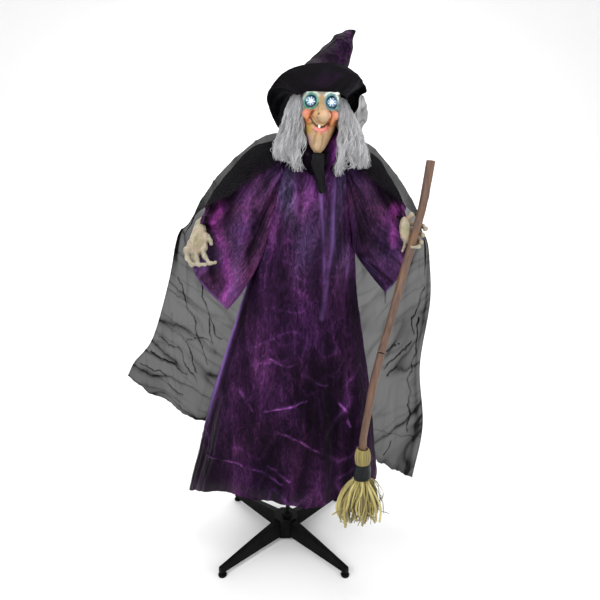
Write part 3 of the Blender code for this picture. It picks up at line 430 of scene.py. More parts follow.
def organza(name, colours, alpha=None, metallic=0.15, roughness=0.42, lines=0.055):
    """Crushed iridescent sheer cloth: a dark ground, with thin bright lines painted along its crumples as highlights.
    """
    material, tree, base = shader(name, roughness, Metallic=metallic, Specular_IOR_Level=0.04)
    broad = grains(tree, 9.0, 4.0, (1.0, 1.0, 0.30), 0.9)
    fine = grains(tree, 52.0, 5.0, (1.0, 1.0, 0.45), 2.6)
    ground = maths(tree, "MULTIPLY_ADD", fine, 0.36, maths(tree, "MULTIPLY", broad, 0.64))
    creased = maths(tree, "MULTIPLY_ADD", crushed(tree, 44.0), lines, ground)
    colour = ramp(tree, creased, list(zip((0.33, 0.50, 0.69), colours)))
    # The tint layer carries each piece's painted light and shade.
    tinted = mixed(tree, 1.0, colour, attribute(tree, "tint", "Color"), "MULTIPLY")
    # The edge layer mixes in a painted lavender highlight.
    coat(tree, base, mixed(tree, attribute(tree, "edge"), tinted, (0.30, 0.16, 0.50)), fine, 0.5, 0.0016)
    if alpha:
        put(tree, base.inputs["Alpha"], attribute(tree, alpha))
    return material


def gauze(name):
    """Sheer net: thin dark threads over nothing, denser along its creases."""
    material, tree, base = shader(name, 0.8, Specular_IOR_Level=0.06)
    cloud = grains(tree, 9.0, 4.0)
    threads = ramp(tree, cloud, [(0.3, (0.004, 0.004, 0.0045)), (0.7, (0.010, 0.010, 0.011))])
    put(tree, base.inputs["Base Color"], threads)
    weave = grains(tree, 700.0, 1.0)
    cover = maths(tree, "MULTIPLY_ADD", weave, 0.06, attribute(tree, "crease"), clamp=True)
    put(tree, base.inputs["Alpha"], cover)
    return material


def painted(name, layer_name, roughness, grain=300.0, strength=0.2, lit=None, **values):
    """A hand-painted moulding: its colour is a painted layer, mottled a little, and lit says where it glows."""
    material, tree, base = shader(name, roughness, **values)
    tone = ramp(tree, grains(tree, 45.0, 5.0), [(0.3, (0.78, 0.74, 0.70)), (0.7, (1.06, 1.04, 1.02))])
    colour = mixed(tree, 1.0, attribute(tree, layer_name, "Color"), tone, "MULTIPLY")
    coat(tree, base, colour, grains(tree, grain), strength, 0.001)
    if lit:
        put(tree, base.inputs["Emission Color"], colour)
        put(tree, base.inputs["Emission Strength"], attribute(tree, lit))
    return material


# ---------------------------------------------------------------- stage, light and camera
FLOOR_DROP = 0.0004
# The backdrop's curve, Y and Z: flat floor, then a bend up behind the figure.
BACKDROP = [(-6.0, 0.0), (1.5, 0.0), (2.6, 0.25), (3.4, 1.0), (3.7, 2.2), (3.8, 6.0)]
FIGURE_MIDDLE, BACKDROP_MIDDLE = (0.05, 0.0, 1.0), (0.0, 3.6, 0.8)
# Name, place, what it aims at, size and power of each soft box.
LIGHTS = [("key", (-1.9, -2.6, 2.9), FIGURE_MIDDLE, 1.6, 62), ("fill", (2.3, -2.2, 1.9), FIGURE_MIDDLE, 1.8, 34),
          ("top", (0.2, 0.4, 3.6), FIGURE_MIDDLE, 2.2, 40), ("back", (0.0, 2.4, 2.4), BACKDROP_MIDDLE, 2.5, 34)]
CAMERA_PLACE, CAMERA_TILT, LENS, SENSOR = (0.057, -1.652, 1.302), 77.76, 28.67, 36.0


def make_stage():
    """Pale floor and backdrop, soft boxes and the camera."""
    floor_material, _, base = shader("stage_floor", 0.9)
    base.inputs["Base Color"].default_value = (0.88, 0.88, 0.88, 1.0)
    rows = [[(x, y, max(z, 0.0) - FLOOR_DROP) for x in np.linspace(-7, 7, 8)] for y, z in through(BACKDROP, 60)]
    floor = grid("stage_backdrop", np.array(rows), material=floor_material)
    world = bpy.data.worlds.new("studio")
    world.use_nodes = True
    world.node_tree.nodes["Background"].inputs["Color"].default_value = (1.0, 1.0, 1.0, 1.0)
    world.node_tree.nodes["Background"].inputs["Strength"].default_value = 0.9
    bpy.context.scene.world = world
    bpy.context.scene.view_settings.view_transform = "Standard"
    for name, place, aim, size, power in LIGHTS:
        light = bpy.data.lights.new(name, "AREA")
        light.energy = power
        light.size = size
        lamp = bpy.data.objects.new(name, light)
        bpy.context.scene.collection.objects.link(lamp)
        lamp.location = place
        lamp.rotation_euler = (Vector(aim) - lamp.location).to_track_quat("-Z", "Y").to_euler()
    camera = bpy.data.cameras.new("camera")
    camera.lens, camera.sensor_width = LENS, SENSOR
    view = bpy.data.objects.new("camera", camera)
    bpy.context.scene.collection.objects.link(view)
    view.location = CAMERA_PLACE
    view.rotation_euler = (math.radians(CAMERA_TILT), 0.0, 0.0)
    bpy.context.scene.camera = view


# ---------------------------------------------------------------- carried-over mechanism
def dress_mechanism():
    """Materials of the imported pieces, which stay as they are."""
    black = moulded("black_moulding", (0.0015, 0.0015, 0.002), (0.004, 0.004, 0.0045), 0.5, 350.0, 0.35,
                    Specular_IOR_Level=0.05)
    steel_black = moulded("black_enamel", (0.002, 0.002, 0.0025), (0.005, 0.005, 0.0055), 0.4, 90.0, 0.1,
                          Specular_IOR_Level=0.12)
    steel = moulded("bright_steel", (0.42, 0.42, 0.43), (0.60, 0.60, 0.61), 0.28, 160.0, 0.1, Metallic=1.0)
    grey = moulded("grey_moulding", (0.17, 0.17, 0.18), (0.24, 0.24, 0.25), 0.5)
    nylon = moulded("natural_nylon", (0.66, 0.64, 0.56), (0.78, 0.76, 0.70), 0.42, Subsurface_Weight=0.1)
    board = moulded("circuit_board", (0.01, 0.10, 0.035), (0.02, 0.20, 0.07), 0.4, 60.0, 0.1)
    cell = moulded("cell_wrap", (0.02, 0.02, 0.03), (0.05, 0.05, 0.06), 0.3, 80.0, 0.05)
    red = moulded("button_red", (0.42, 0.01, 0.01), (0.55, 0.025, 0.02), 0.3, 120.0, 0.05)
    shell = moulded("head_shell", (0.55, 0.42, 0.26), (0.68, 0.55, 0.36), 0.55, 90.0, 0.2)
    looks = {steel_black: ("pole_lower", "pole_upper", "arm_rod_left", "arm_rod_right"),
             steel: ("hip_pin", "sway_pinion", "head_pinion", "sway_motor", "head_motor"),
             grey: ("hip_bracket", "torso_frame"),
             nylon: ("sway_sector_gear", "neck_bush", "neck_shaft", "neck_gear", "power_switch"),
             board: ("control_board",), cell: ("battery_1", "battery_2", "battery_3"), red: ("try_me_button",),
             shell: ("head_back",)}
    chosen = {name: material for material, names in looks.items() for name in names}
    for name, obj in nodes.items():
        obj.data.materials.clear()
        obj.data.materials.append(chosen.get(name, black))
        smooth_edges(obj)


def smooth_edges(obj):
    obj.data.shade_smooth()
    obj.data.set_sharp_from_angle(angle=math.radians(32))


# ---------------------------------------------------------------- robe and sleeves
DARK, DEEP, BRIGHT = (0.004, 0.002, 0.006), (0.029, 0.0085, 0.035), (0.125, 0.034, 0.135)


def folds(around, height, seed, spread):
    """Long soft pleats that run down, from three widths of noise round the piece."""
    total = 0
    for frequency, rise, share in ((1.0, 0.9, 1.0), (2.3, 1.6, 0.5), (5.0, 3.0, 0.22)):
        p = round_place(around, spread * frequency, height * rise)
        total = total + share * noise(p, seed + int(frequency * 3))
    return total


# Rings of the robe from the hem up: X and Z of the middle, slope, half width, half depth. The top ones are
# in the figure frame: height, half width, half depth.
ROBE_LOW = [(-0.011, 0.230, 0.134, 0.354, 0.140), (0.004, 0.380, 0.080, 0.325, 0.134),
            (0.022, 0.565, 0.030, 0.291, 0.124), (0.042, 0.780, 0.0, 0.240, 0.110),
            (0.062, 0.980, -0.030, 0.192, 0.100), (0.085, 1.160, -0.060, 0.158, 0.094)]
ROBE_TOP = [(1.372, 0.127, 0.085), (1.420, 0.127, 0.080), (1.455, 0.122, 0.072), (1.478, 0.108, 0.062),
            (1.489, 0.080, 0.054), (1.494, 0.055, 0.046)]
# Creases that the cloth keeps from its packing, as X and Z on the front, in millimetres, each with a painted
# highlight along it.
ROBE_CREASES = [[(-71, 571), (0, 583), (78, 611)], [(-23, 495), (60, 462), (126, 423)],
                [(-286, 378), (-200, 374), (-120, 350), (-7, 305)], [(-56, 365), (22, 318)],
                [(-150, 640), (-110, 575)], [(190, 600), (220, 560), (235, 500)],
                [(-45, 760), (10, 735), (60, 745)], [(60, 700), (150, 660)]]
# The two edges of the front opening, each with a painted lavender highlight.
PLACKET = [[(170, 1359), (164, 1132), (143, 984), (132, 900)],
           [(120, 1359), (131, 1209), (137, 1096), (139, 1020)]]


def make_robe():
    """Rings up the body, with pleats, creases, a front opening and an uneven hem."""
    keys = list(ROBE_LOW)
    lean = math.tan(LEAN)
    keys += [(z * SIN, z * COS, -lean, half, depth) for z, half, depth in ROBE_TOP]
    rows, cols = 330, 300
    keys = np.array(keys)
    along = np.concatenate([[0], np.cumsum(np.abs(np.diff(keys[:, 1])) + 0.3 * np.abs(np.diff(keys[:, 3])))])
    # Rows are spread evenly along the cloth rather than evenly between the keys.
    steps = 2000
    dense = through(keys, steps)
    run = np.interp(np.linspace(0, len(keys) - 1, steps), np.arange(len(keys)), along)
    pick = np.interp(np.linspace(0, along[-1], rows), run, np.arange(steps))
    table = np.stack([np.interp(pick, np.arange(steps), dense[:, k]) for k in range(5)], -1)
    a, t = turns_and_heights(rows, cols)
    cx, cz, slope, half, depth = (table[:, k][:, None] for k in range(5))
    p = np.stack([cx + half * np.cos(a), depth * np.sin(a), cz + slope * half * np.cos(a)], -1)
    n = np.stack([np.cos(a) / half, np.sin(a) / depth, np.zeros_like(a)], -1)
    n /= np.linalg.norm(n, axis=-1)[..., None]
    loose = 1 - smooth(t, 0.0, 0.8)
    pleats = folds(a, p[..., 2] * 0.6, 3, 2.6)
    fine = crinkle(p * (26, 26, 5), 5) + 0.6 * crinkle(p * (60, 60, 14), 9)
    shards = crinkle(p * (9, 9, 7), 13) ** 3 * smooth(noise(p * 4, 14), -0.2, 0.5)
    away = pleats * (0.003 + 0.015 * loose) + 0.0016 * fine + 0.0035 * shards * loose
    away += noise(p * (120, 120, 40), 12) * 0.0005
    front = smooth(-n[..., 1], 0.1, 0.6)
    xz = p[..., (0, 2)]
    # Painted highlights along the packing creases on the front.
    glint = np.zeros(a.shape)
    wavy = xz + 0.006 * waver(p, 25, 15)
    for crease in ROBE_CREASES:
        close = to_line(wavy, mm(crease))
        away += 0.005 * bell(close, 0.005) * front
        glint = np.maximum(glint, bell(close, 0.0022) * front * smooth(noise(p * 30, 17), -0.5, 0.4))
    # Painted lavender highlights along the placket edges.
    edge = np.zeros(a.shape)
    for line, width in zip(PLACKET, (0.0055, 0.004)):
        close = to_line(xz, mm(line))
        away += 0.0035 * bell(close, width) * front
        edge = np.maximum(edge, bell(close, 1.4 * width) * front * (0.20 + 0.26 * noise(p * 14, 4)))
    hem = 1 - smooth(t, 0.0, 0.10)
    p = p + n * away[..., None]
    turns = np.radians([0, 90, 180, 205, 225, 240, 256, 270, 285, 300, 320, 340, 360])
    lifts = [0, 0.004, 0.018, 0.040, 0.054, 0.056, 0.024, -0.010, -0.030, -0.040, -0.030, -0.012, 0]
    p[..., 2] += np.interp(a, turns, lifts) * (1 - smooth(t, 0.0, 0.16))
    p[..., 2] += hem * (0.010 * noise(round_place(a, 2.2, a * 0), 21)
                        + 0.004 * noise(round_place(a, 6, a * 0), 22))
    # A painted sheen band down each side, fading out low down and high up.
    side = bell(a - 3.20, 0.13) + 0.6 * bell(np.minimum(a, TAU - a), 0.10)
    side *= smooth(t, 0.16, 0.34) * (1 - smooth(t, 0.60, 0.72))
    edge = np.clip(np.maximum(edge, 0.8 * side), 0, 1)
    robe = grid("robe_cloth", p, True, organza("robe_organza", (DARK, DEEP, BRIGHT), "cover"))
    # The tint layer paints light and shade into the cloth: darker at both sides, lighter on the pleat crests and
    # crinkle ridges and darker in their hollows, with painted highlights on the shards, veins and creases. It is also
    # lighter and greyer towards the chest, nearly black at the top under the collar, and varies at random.
    high = unfig(p)[..., 2]
    shade = 0.47 + 0.33 * smooth(high, 0.55, 0.85) + 0.70 * smooth(high, 0.90, 1.30)
    shade *= 1 - 0.55 * smooth(np.cos(a), 0.45, 0.85) * (1 - smooth(high, 0.9, 1.2))
    shade *= 1 - 0.40 * smooth(-np.cos(a), 0.60, 0.90) * (1 - smooth(high, 0.9, 1.2))
    shade *= (0.55 + 0.55 * smooth(pleats, -0.4, 0.5) + 0.35 * smooth(fine, 0.1, 1.1)
              + 0.50 * noise(p * (6, 6, 1.0), 30))
    vein_highlights = crinkle(p * (17, 17, 11), 34) ** 3 * smooth(noise(p * 5, 35), -0.1, 0.5)
    shade = (shade + 0.9 * shards + 0.45 * vein_highlights + 3.6 * glint) * (1 - 0.93 * smooth(high, 1.375, 1.405))
    grey = 0.55 * smooth(high, 0.95, 1.25) * smooth(noise(p * (14, 14, 4), 33), -0.5, 0.5)
    tint = np.stack([shade * (1 - 0.1 * grey), shade * (1.0 + 2.2 * grey),
                     shade * (1.05 + 0.5 * grey + 0.15 * noise(p * 6, 32))], -1)
    paint(robe, "tint", np.clip(tint, 0.02, 7).reshape(-1, 3))
    paint(robe, "edge", edge.ravel())
    cover = 1.0 - 0.012 * (1 - smooth(t, 0.0, 0.05)) - 0.07 * side * (np.cos(a) < 0)
    paint(robe, "cover", np.clip(cover, 0.2, 1).ravel())
    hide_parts("robe")
    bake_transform(robe)


# Stations from the shoulder to the mouth, in millimetres: top point, low point, half depth, forward bow.
SLEEVES = {
    "left": (-1, [((-112, 0, 1482), (-104, -20, 1340), 50, 0),
                  ((-212, -20, 1446), (-128, -30, 1230), 56, 4),
                  ((-278, -55, 1362), (-158, -45, 1110), 56, 15),
                  ((-313, -103, 1296), (-208, -55, 1000), 66, 30),
                  ((-330, -135, 1250), (-262, -85, 915), 74, 46)]),
    "right": (1, [((112, 0, 1478), (104, -20, 1340), 50, 0),
                  ((194, -20, 1446), (136, -35, 1215), 56, 2),
                  ((234, -55, 1388), (158, -50, 1130), 54, 8),
                  ((266, -98, 1338), (200, -70, 1070), 56, 20),
                  ((286, -138, 1300), (258, -100, 1010), 58, 30)])}
# How light lies on the front of each sleeve: X and Z of each streak and its width in millimetres, then its
# strength and colour.
SLEEVE_STREAKS = {
    "left": [([(-286, 1257), (-296, 1207), (-284, 1147), (-262, 1078), (-255, 1003), (-260, 959)], 14, 2.6,
              (1.25, 0.75, 1.10)),
             ([(-226, 1136), (-235, 1054), (-244, 974)], 16, 0.9, (0.45, 1.9, 1.05)),
             ([(-179, 1243), (-177, 1138), (-191, 1038), (-213, 952)], 20, -0.85, (1, 1, 1)),
             ([(-311, 1152), (-312, 1076), (-293, 1018)], 12, -0.8, (1, 1, 1)),
             ([(-224, 1308), (-211, 1231), (-217, 1157)], 18, 0.8, (1.1, 0.9, 1.1))],
    "right": [([(259, 1290), (248, 1252), (254, 1202), (267, 1172)], 13, 2.4, (1.25, 0.75, 1.10)),
              ([(189, 1109), (218, 1064), (248, 1026)], 14, 0.7, (0.45, 1.8, 1.2)),
              ([(159, 1259), (170, 1179), (185, 1130)], 20, -0.85, (1, 1, 1)),
              ([(290, 1192), (299, 1142)], 12, -0.7, (1, 1, 1))]}


# The left arm's rod and wrist, which the sleeve falls in front of, in millimetres.
WRIST = [(-240, -55, 1300), (-270, -106.5, 1254), (-300, -160, 1211), (-318, -168, 1212), (-331, -172, 1209)]


def drape_over(p, a, keys):
    """Bring the front of a sleeve forward of the arm along keys."""
    path = through(keys, 60)
    gap = np.linalg.norm(p[:, :, None, ::2] - path[None, None, :, ::2], axis=-1)
    near = np.clip(1.5 * bell(gap.min(-1), 0.017), 0, 1) * smooth(-np.sin(a), 0.0, 0.25)
    ahead = path[gap.argmin(-1), 1] - 0.021
    p[..., 1] += near * np.minimum(ahead - p[..., 1], 0)


def make_sleeves():
    """Flat bell sleeves that fall to a point under each arm."""
    cloth = organza("sleeve_organza", ((0.008, 0.003, 0.012), (0.045, 0.011, 0.055), (0.17, 0.033, 0.17)))
    for name, (side, stations) in SLEEVES.items():
        rows, cols = 190, 220
        tops, lows, extra = (through(mm([s[part] for s in stations]), rows) for part in (0, 1, slice(2, 4)))
        a, t = turns_and_heights(rows, cols)
        centre, half = (tops + lows)[:, None] / 2, (tops - lows)[:, None] / 2
        bow = side * extra[:, 1][:, None] * (np.sin(a) ** 2 * (1.1 - 0.55 * np.cos(a)) - 0.35 * np.sin(a))
        point = np.arcsin(0.985 * np.cos(a)) / math.asin(0.985)
        rise = np.cos(a) + (point - np.cos(a)) * smooth(t, 0.55, 1.0)
        p = centre + half * rise[..., None] + np.stack([bow, extra[:, 0][:, None] * np.sin(a), 0 * a], -1)
        n = row_normals(p, True)
        middle = p.mean(1, keepdims=True)
        n *= np.sign(((p - middle) * n).sum(-1, keepdims=True))
        wave = folds(a, t, 40 + side, 1.2)
        along = round_place(a, 7, t * 2.5)
        fine = crinkle(along, 44) + 0.5 * crinkle(along * 2.3, 46)
        away = wave * (0.003 + 0.013 * t) + 0.0016 * fine
        p = p + n * away[..., None]
        p[-1] += n[-1] * 0.002
        if side < 0:
            drape_over(p, a, mm(WRIST))
        sleeve = grid(f"sleeve_{name}_cloth", fig(p), True, cloth)
        # The upper, outer half is painted darker, where the black gauze lies over it. The tint layer also paints
        # light and shade: lighter on the fold crests and crinkles, painted pools of satin light along the inner fall,
        # and the painted streaks below.
        hidden = smooth(np.cos(a), -0.15, 0.55) * (1 - 0.7 * smooth(t, 0.80, 1.0))
        shade = (0.90 - 0.72 * hidden) * (0.35 + 0.75 * smooth(wave, -0.35, 0.6) + 0.45 * smooth(fine, 0.1, 1.0))
        shade += 1.6 * smooth(t, 0.80, 0.92) * smooth(noise(along * 0.5, 53), 0.0, 0.5)
        violet = noise(p * 9, 51)
        tint = np.stack([shade * (0.92 + 0.25 * violet), shade * 1.45, shade * (0.95 - 0.15 * violet)], -1)
        facing = smooth(-np.sin(a), -0.1, 0.4)
        wavy = p[..., (0, 2)] + 0.012 * waver(p, 14, 54)
        for streak, width, strength, hue in SLEEVE_STREAKS[name]:
            near = bell(to_line(wavy, mm(streak)), width / 1000) * facing * (0.75 + 0.5 * noise(p * 22, 56))
            if strength > 0:
                tint += (near * strength * 0.55)[..., None] * np.array(hue)
            else:
                tint *= (1 + strength * near)[..., None]
        paint(sleeve, "tint", np.clip(tint, 0.03, 4).reshape(-1, 3))
        # A painted highlight round the rim of the mouth.
        rim = smooth(t, 0.975, 1.0) * 0.35
        paint(sleeve, "edge", np.clip(rim * (0.7 + 0.5 * noise(p * 30, 52)), 0, 1).ravel())
        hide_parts(f"sleeve_{name}")
        width, length = (0.68, 0.44) if side < 0 else (0.62, 0.36)
        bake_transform(sleeve)


# ---------------------------------------------------------------- cape
# Figure-frame rows in millimetres, from the neck down: left front edge, left side, behind the left shoulder,
# middle of the back, behind the right shoulder, right side, right front edge.
CAPE = [[(-70, -80, 1468), (-112, -10, 1503), (-85, 70, 1508), (0, 98, 1500), (85, 70, 1508), (112, -10, 1503),
         (72, -80, 1468)],
        [(-112, -104, 1408), (-176, -40, 1476), (-150, 68, 1470), (0, 102, 1440), (150, 68, 1470), (174, -40, 1476),
         (108, -104, 1420)],
        [(-180, -122, 1352), (-236, -70, 1424), (-190, 60, 1400), (0, 104, 1380), (190, 60, 1405), (228, -70, 1426),
         (170, -122, 1372)],
        [(-256, -140, 1292), (-306, -100, 1342), (-230, 60, 1320), (0, 106, 1310), (225, 60, 1330), (290, -100, 1352),
         (236, -140, 1330)],
        [(-340, -150, 1240), (-352, -100, 1250), (-262, 65, 1200), (0, 110, 1200), (255, 65, 1230), (338, -110, 1256),
         (312, -150, 1276)],
        [(-392, -112, 1186), (-374, -55, 1190), (-272, 75, 1140), (0, 112, 1145), (262, 75, 1170), (352, -60, 1205),
         (352, -110, 1222)],
        [(-438, -60, 1140), (-404, -10, 1130), (-280, 85, 1080), (0, 114, 1090), (270, 85, 1110), (380, -10, 1150),
         (394, -60, 1166)],
        [(-489, 30, 965), (-420, 50, 960), (-280, 105, 940), (0, 125, 940), (280, 105, 950), (400, 60, 965),
         (456, 40, 975)],
        [(-552, 60, 745), (-450, 90, 720), (-290, 120, 700), (0, 140, 700), (285, 120, 700), (400, 95, 700),
         (463, 80, 705)],
        [(-625, 80, 640), (-500, 110, 560), (-310, 135, 500), (0, 150, 480), (300, 135, 450), (420, 110, 440),
         (509, 90, 455)],
        [(-654, 90, 578), (-505, 125, 455), (-340, 150, 372), (0, 168, 330), (280, 150, 275), (400, 125, 250),
         (499, 100, 219)]]
# Pinched creases of the net, X and Z in the figure frame, in millimetres.
CAPE_CREASES = [[(-392, 1080), (-372, 930), (-350, 800), (-338, 730)],
                [(-450, 980), (-430, 880), (-395, 810), (-385, 720), (-345, 640)],
                [(-530, 760), (-470, 700), (-440, 640), (-390, 560)],
                [(-480, 850), (-455, 760), (-420, 690), (-400, 600)],
                [(-600, 640), (-540, 600), (-500, 530), (-450, 500)], [(-350, 830), (-322, 760), (-300, 740)],
                [(-430, 740), (-360, 745), (-335, 735)], [(335, 660), (365, 730), (400, 760), (415, 800)],
                [(330, 740), (352, 770), (380, 780)], [(425, 1020), (410, 900), (420, 830)],
                [(350, 640), (380, 690)], [(300, 1000), (310, 930)], [(380, 300), (395, 330), (400, 360)],
                [(-560, 690), (-500, 640), (-430, 590)], [(430, 900), (437, 760), (430, 650), (452, 520), (455, 420)]]
CAPE_SEAM = [(100, 360), (330, 392), (520, 408)]


def make_cape():
    """The net over the shoulders and down the back."""
    rows, cols = 430, 450
    p = surface(mm(CAPE), rows, cols)
    u, t = np.meshgrid(np.linspace(0, 1, cols), np.linspace(0, 1, rows))
    n = row_normals(p, False)
    low = smooth(t, 0.30, 0.75)
    across = u * 2.0
    pleat = sum(share * noise(np.stack([across * f, t * r, 0 * t + 7], -1), 60 + f)
                for f, r, share in ((6, 1.4, 1.0), (13, 2.6, 0.45), (27, 5.0, 0.2)))
    ends = smooth(u, 0.0, 0.05) * smooth(1 - u, 0.0, 0.05)
    away = pleat * (0.004 + 0.022 * low) * (0.35 + 0.65 * ends)
    xz = p[..., (0, 2)]
    warp = xz + 0.010 * waver(p, 16, 71) + 0.0025 * waver(p, 70, 68)
    lines = np.zeros(t.shape)
    for crease in CAPE_CREASES:
        lines = np.maximum(lines, bell(to_line(warp, mm(crease)), 0.0023) * smooth(noise(p * 12, 73), -1.0, 0.3))
    # Finer packing creases: upright ones high up, slanting ones across the low corners.
    def slanted(tilt, seed):
        c, s = math.cos(tilt), math.sin(tilt)
        turned = np.stack([p[..., 0] * c + p[..., 2] * s, p[..., 1] * 0, p[..., 2] * c - p[..., 0] * s], -1)
        wide = crinkle(turned * (12, 1, 2.2), seed) ** 2.2
        close = crinkle(turned * (20, 1, 3.6), seed + 4) ** 1.7
        return wide * smooth(noise(p * 4, seed + 8), -0.9, 0.1), close * smooth(noise(p * 6, seed + 9), -0.6, 0.3)

    slant = smooth(t, 0.50, 0.75)
    upright, left, right = slanted(0.05, 300), slanted(0.85, 320), slanted(-0.6, 340)
    leftward = smooth(-p[..., 0], -0.02, 0.06)
    faint, webs = (up * (1 - 0.8 * slant) + slant * (low_l * leftward + low_r * (1 - leftward))
                   for up, low_l, low_r in zip(upright, left, right))
    away = away + 0.006 * lines * low + 0.002 * webs + 0.003 * faint
    p = p + n * away[..., None]
    hem = 1 - smooth(1 - t, 0.0, 0.02)
    fold_r = bell(u - 0.955, 0.018) * smooth(t, 0.42, 0.55)
    rim = np.maximum(smooth(u, 0.985, 1.0), 1 - smooth(u, 0.0, 0.015)) * 0.35
    seam = bell(to_line(xz, mm(CAPE_SEAM)), 0.0025) * 0.45
    shoulder = 1 - smooth(t, 0.28, 0.46)
    fold_l = (1 - smooth(u, 0.03, 0.08)) * smooth(t, 0.34, 0.42) * (1 - smooth(t, 0.60, 0.72))
    front = shoulder * (1 - smooth(np.minimum(u, 1 - u), 0.0, 0.10))
    crease = (0.848 + 0.014 * leftward - 0.14 * shoulder - 0.30 * front + 0.12 * lines + 0.10 * faint + 0.05 * webs
              + 0.05 * fold_r + 0.12 * fold_l + 0.12 * rim + 0.12 * seam + 0.04 * hem)
    crease += 0.022 * noise(p * (5, 5, 2), 79)
    cape = grid("cape_gauze", fig(p), False, gauze("gauze_net"))
    paint(cape, "crease", np.clip(crease, 0, 0.985).ravel())
    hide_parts("cape")
    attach(cape, "torso")


# ---------------------------------------------------------------- collar and ribbon
def make_collar():
    """The cowl, rolled round the neck and lowest at the front."""
    rows, cols = 46, 260
    a, t = turns_and_heights(rows, cols)
    front, back = np.clip(-np.sin(a), 0, 1), np.clip(np.sin(a), 0, 1)
    swell = 0.012 + 0.010 * (1 - back)
    ring_x, ring_y = 0.085 * np.cos(a), -0.022 + (0.083 + 0.005 * back) * np.sin(a)
    height = 1.510 + 0.006 * back - 0.100 * front ** 2.3
    roll = TAU * (t * 0.72 - 0.30)
    out = np.stack([np.cos(a), np.sin(a), 0 * a], -1)
    p = np.stack([ring_x, ring_y, height], -1) + out * (swell * np.cos(roll))[..., None]
    p[..., 2] += 1.9 * swell * np.sin(roll)
    wrinkle = sum(s * noise(round_place(a, f, t * r + a * 0.6), 80 + f)
                  for f, r, s in ((3, 2.0, 1.0), (7, 4.0, 0.6), (15, 7.0, 0.25)))
    p = p + out * (0.0085 * wrinkle)[..., None]
    satin = organza("collar_satin", ((0.03, 0.008, 0.04), (0.13, 0.03, 0.16), (0.34, 0.10, 0.42)),
                    None, 0.3, 0.34, 0.04)
    collar = grid("collar_cowl", fig(p), True, satin)
    # The tint layer: nearly black at the front; elsewhere painted lighter where the wrinkles swell out and darker
    # where they sink, as painted light and shade.
    black = np.where(np.cos(a) < 0.12, smooth(front, 0.45, 0.66), smooth(front, 0.86, 0.97))
    shade = np.clip((1.2 + 0.9 * wrinkle) * (1 - 0.99 * black), 0.01, 2)
    paint(collar, "tint", np.stack([shade, shade * 0.9, shade], -1).reshape(-1, 3))
    paint(collar, "edge", np.zeros(rows * cols))
    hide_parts("collar")
    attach(collar, "torso")


def make_ribbon():
    """The tie that hangs from the collar."""
    keys = [(-0.002, -0.128, 1.436, 0.024), (0.003, -0.133, 1.408, 0.021), (0.010, -0.126, 1.380, 0.018),
            (0.018, -0.110, 1.352, 0.015), (0.025, -0.108, 1.330, 0.012), (0.029, -0.107, 1.318, 0.011)]
    spine = through(keys, 60)
    u, t = np.meshgrid(np.linspace(-1, 1, 22), np.linspace(0, 1, 60))
    p = np.stack([spine[:, 0][:, None] + u * spine[:, 3][:, None],
                  spine[:, 1][:, None] + 0.006 * np.abs(u) ** 2
                  + 0.0035 * noise(np.stack([u * 2.2, t * 2.5, 0 * t], -1), 90),
                  spine[:, 2][:, None] + 0.003 * noise(np.stack([u, t * 0, 0 * t + 3], -1), 91)], -1)
    satin = moulded("ribbon_black", (0.003, 0.003, 0.004), (0.007, 0.007, 0.008), 0.5, 500.0, 0.5,
                    Specular_IOR_Level=0.1)
    ribbon = grid("ribbon_tail", fig(p), False, satin)
    ribbon.modifiers.new("Solidify", "SOLIDIFY").thickness = 0.0008
    apply_modifiers(ribbon)
    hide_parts("ribbon_tie")
    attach(ribbon, "torso")


# ---------------------------------------------------------------- head
# The bare face by height: half width, front and the line where it meets the hood, then its painted places.
HALF_WIDTH = mm([(1436.5, 10), (1448, 21), (1465, 29), (1490, 41), (1520, 55), (1550, 63),
                 (1600, 63.5), (1640, 60)])
FRONT = mm([(1436.5, -140), (1448, -150), (1465, -146), (1490, -133), (1510, -130), (1545, -128),
            (1585, -124), (1610, -130), (1640, -124)])
SEAM = mm([(1436.5, -112), (1448, -106), (1465, -94), (1490, -75), (1515, -48), (1540, -32)])
EYES = mm(((-32, 1585), (31, 1586)))
SMILE = mm([(-29, 1537), (-21, 1524), (-11, 1514), (0, 1509), (11, 1511), (24, 1525)])
CREASE_L = mm([(-22, 1558), (-30, 1542), (-38, 1526)])
CREASE_R = mm([(29, 1560), (32, 1546), (28, 1528), (24, 1511)])
# Raised parts of the face: X, Y, Z and radius along each.
NOSE = mm([(0, -118, 1604, 8), (1, -128, 1588, 8.5), (3, -142, 1569, 10.5), (5, -158, 1553, 13.5),
           (7, -170, 1541.5, 16.5), (7, -175, 1535, 17.2), (8, -177, 1530, 13.5)])
LOWER_LIP = mm([(-20, -134, 1510, 5), (-9, -139, 1503.5, 6.8), (2, -141, 1500.5, 7.2), (13, -139, 1504, 6.6),
                (21, -134, 1511, 5)])
UPPER_LIP = mm([(-26, -128, 1534, 5), (-12, -136, 1520, 6), (0, -138, 1516, 6), (12, -136, 1518, 6),
                (24, -130, 1530, 5)])
CHIN = mm([(0, -136, 1482, 12), (-1, -142, 1464, 14), (-2, -143, 1451.5, 14)])


def on_mask(x, z):
    """Y of the bare face at x and z."""
    half, front, seam = (np.interp(z, *keys.T) for keys in (HALF_WIDTH, FRONT, SEAM))
    return seam + (front - seam) * np.sqrt(np.clip(1 - (x / half) ** 2, 0, 1))


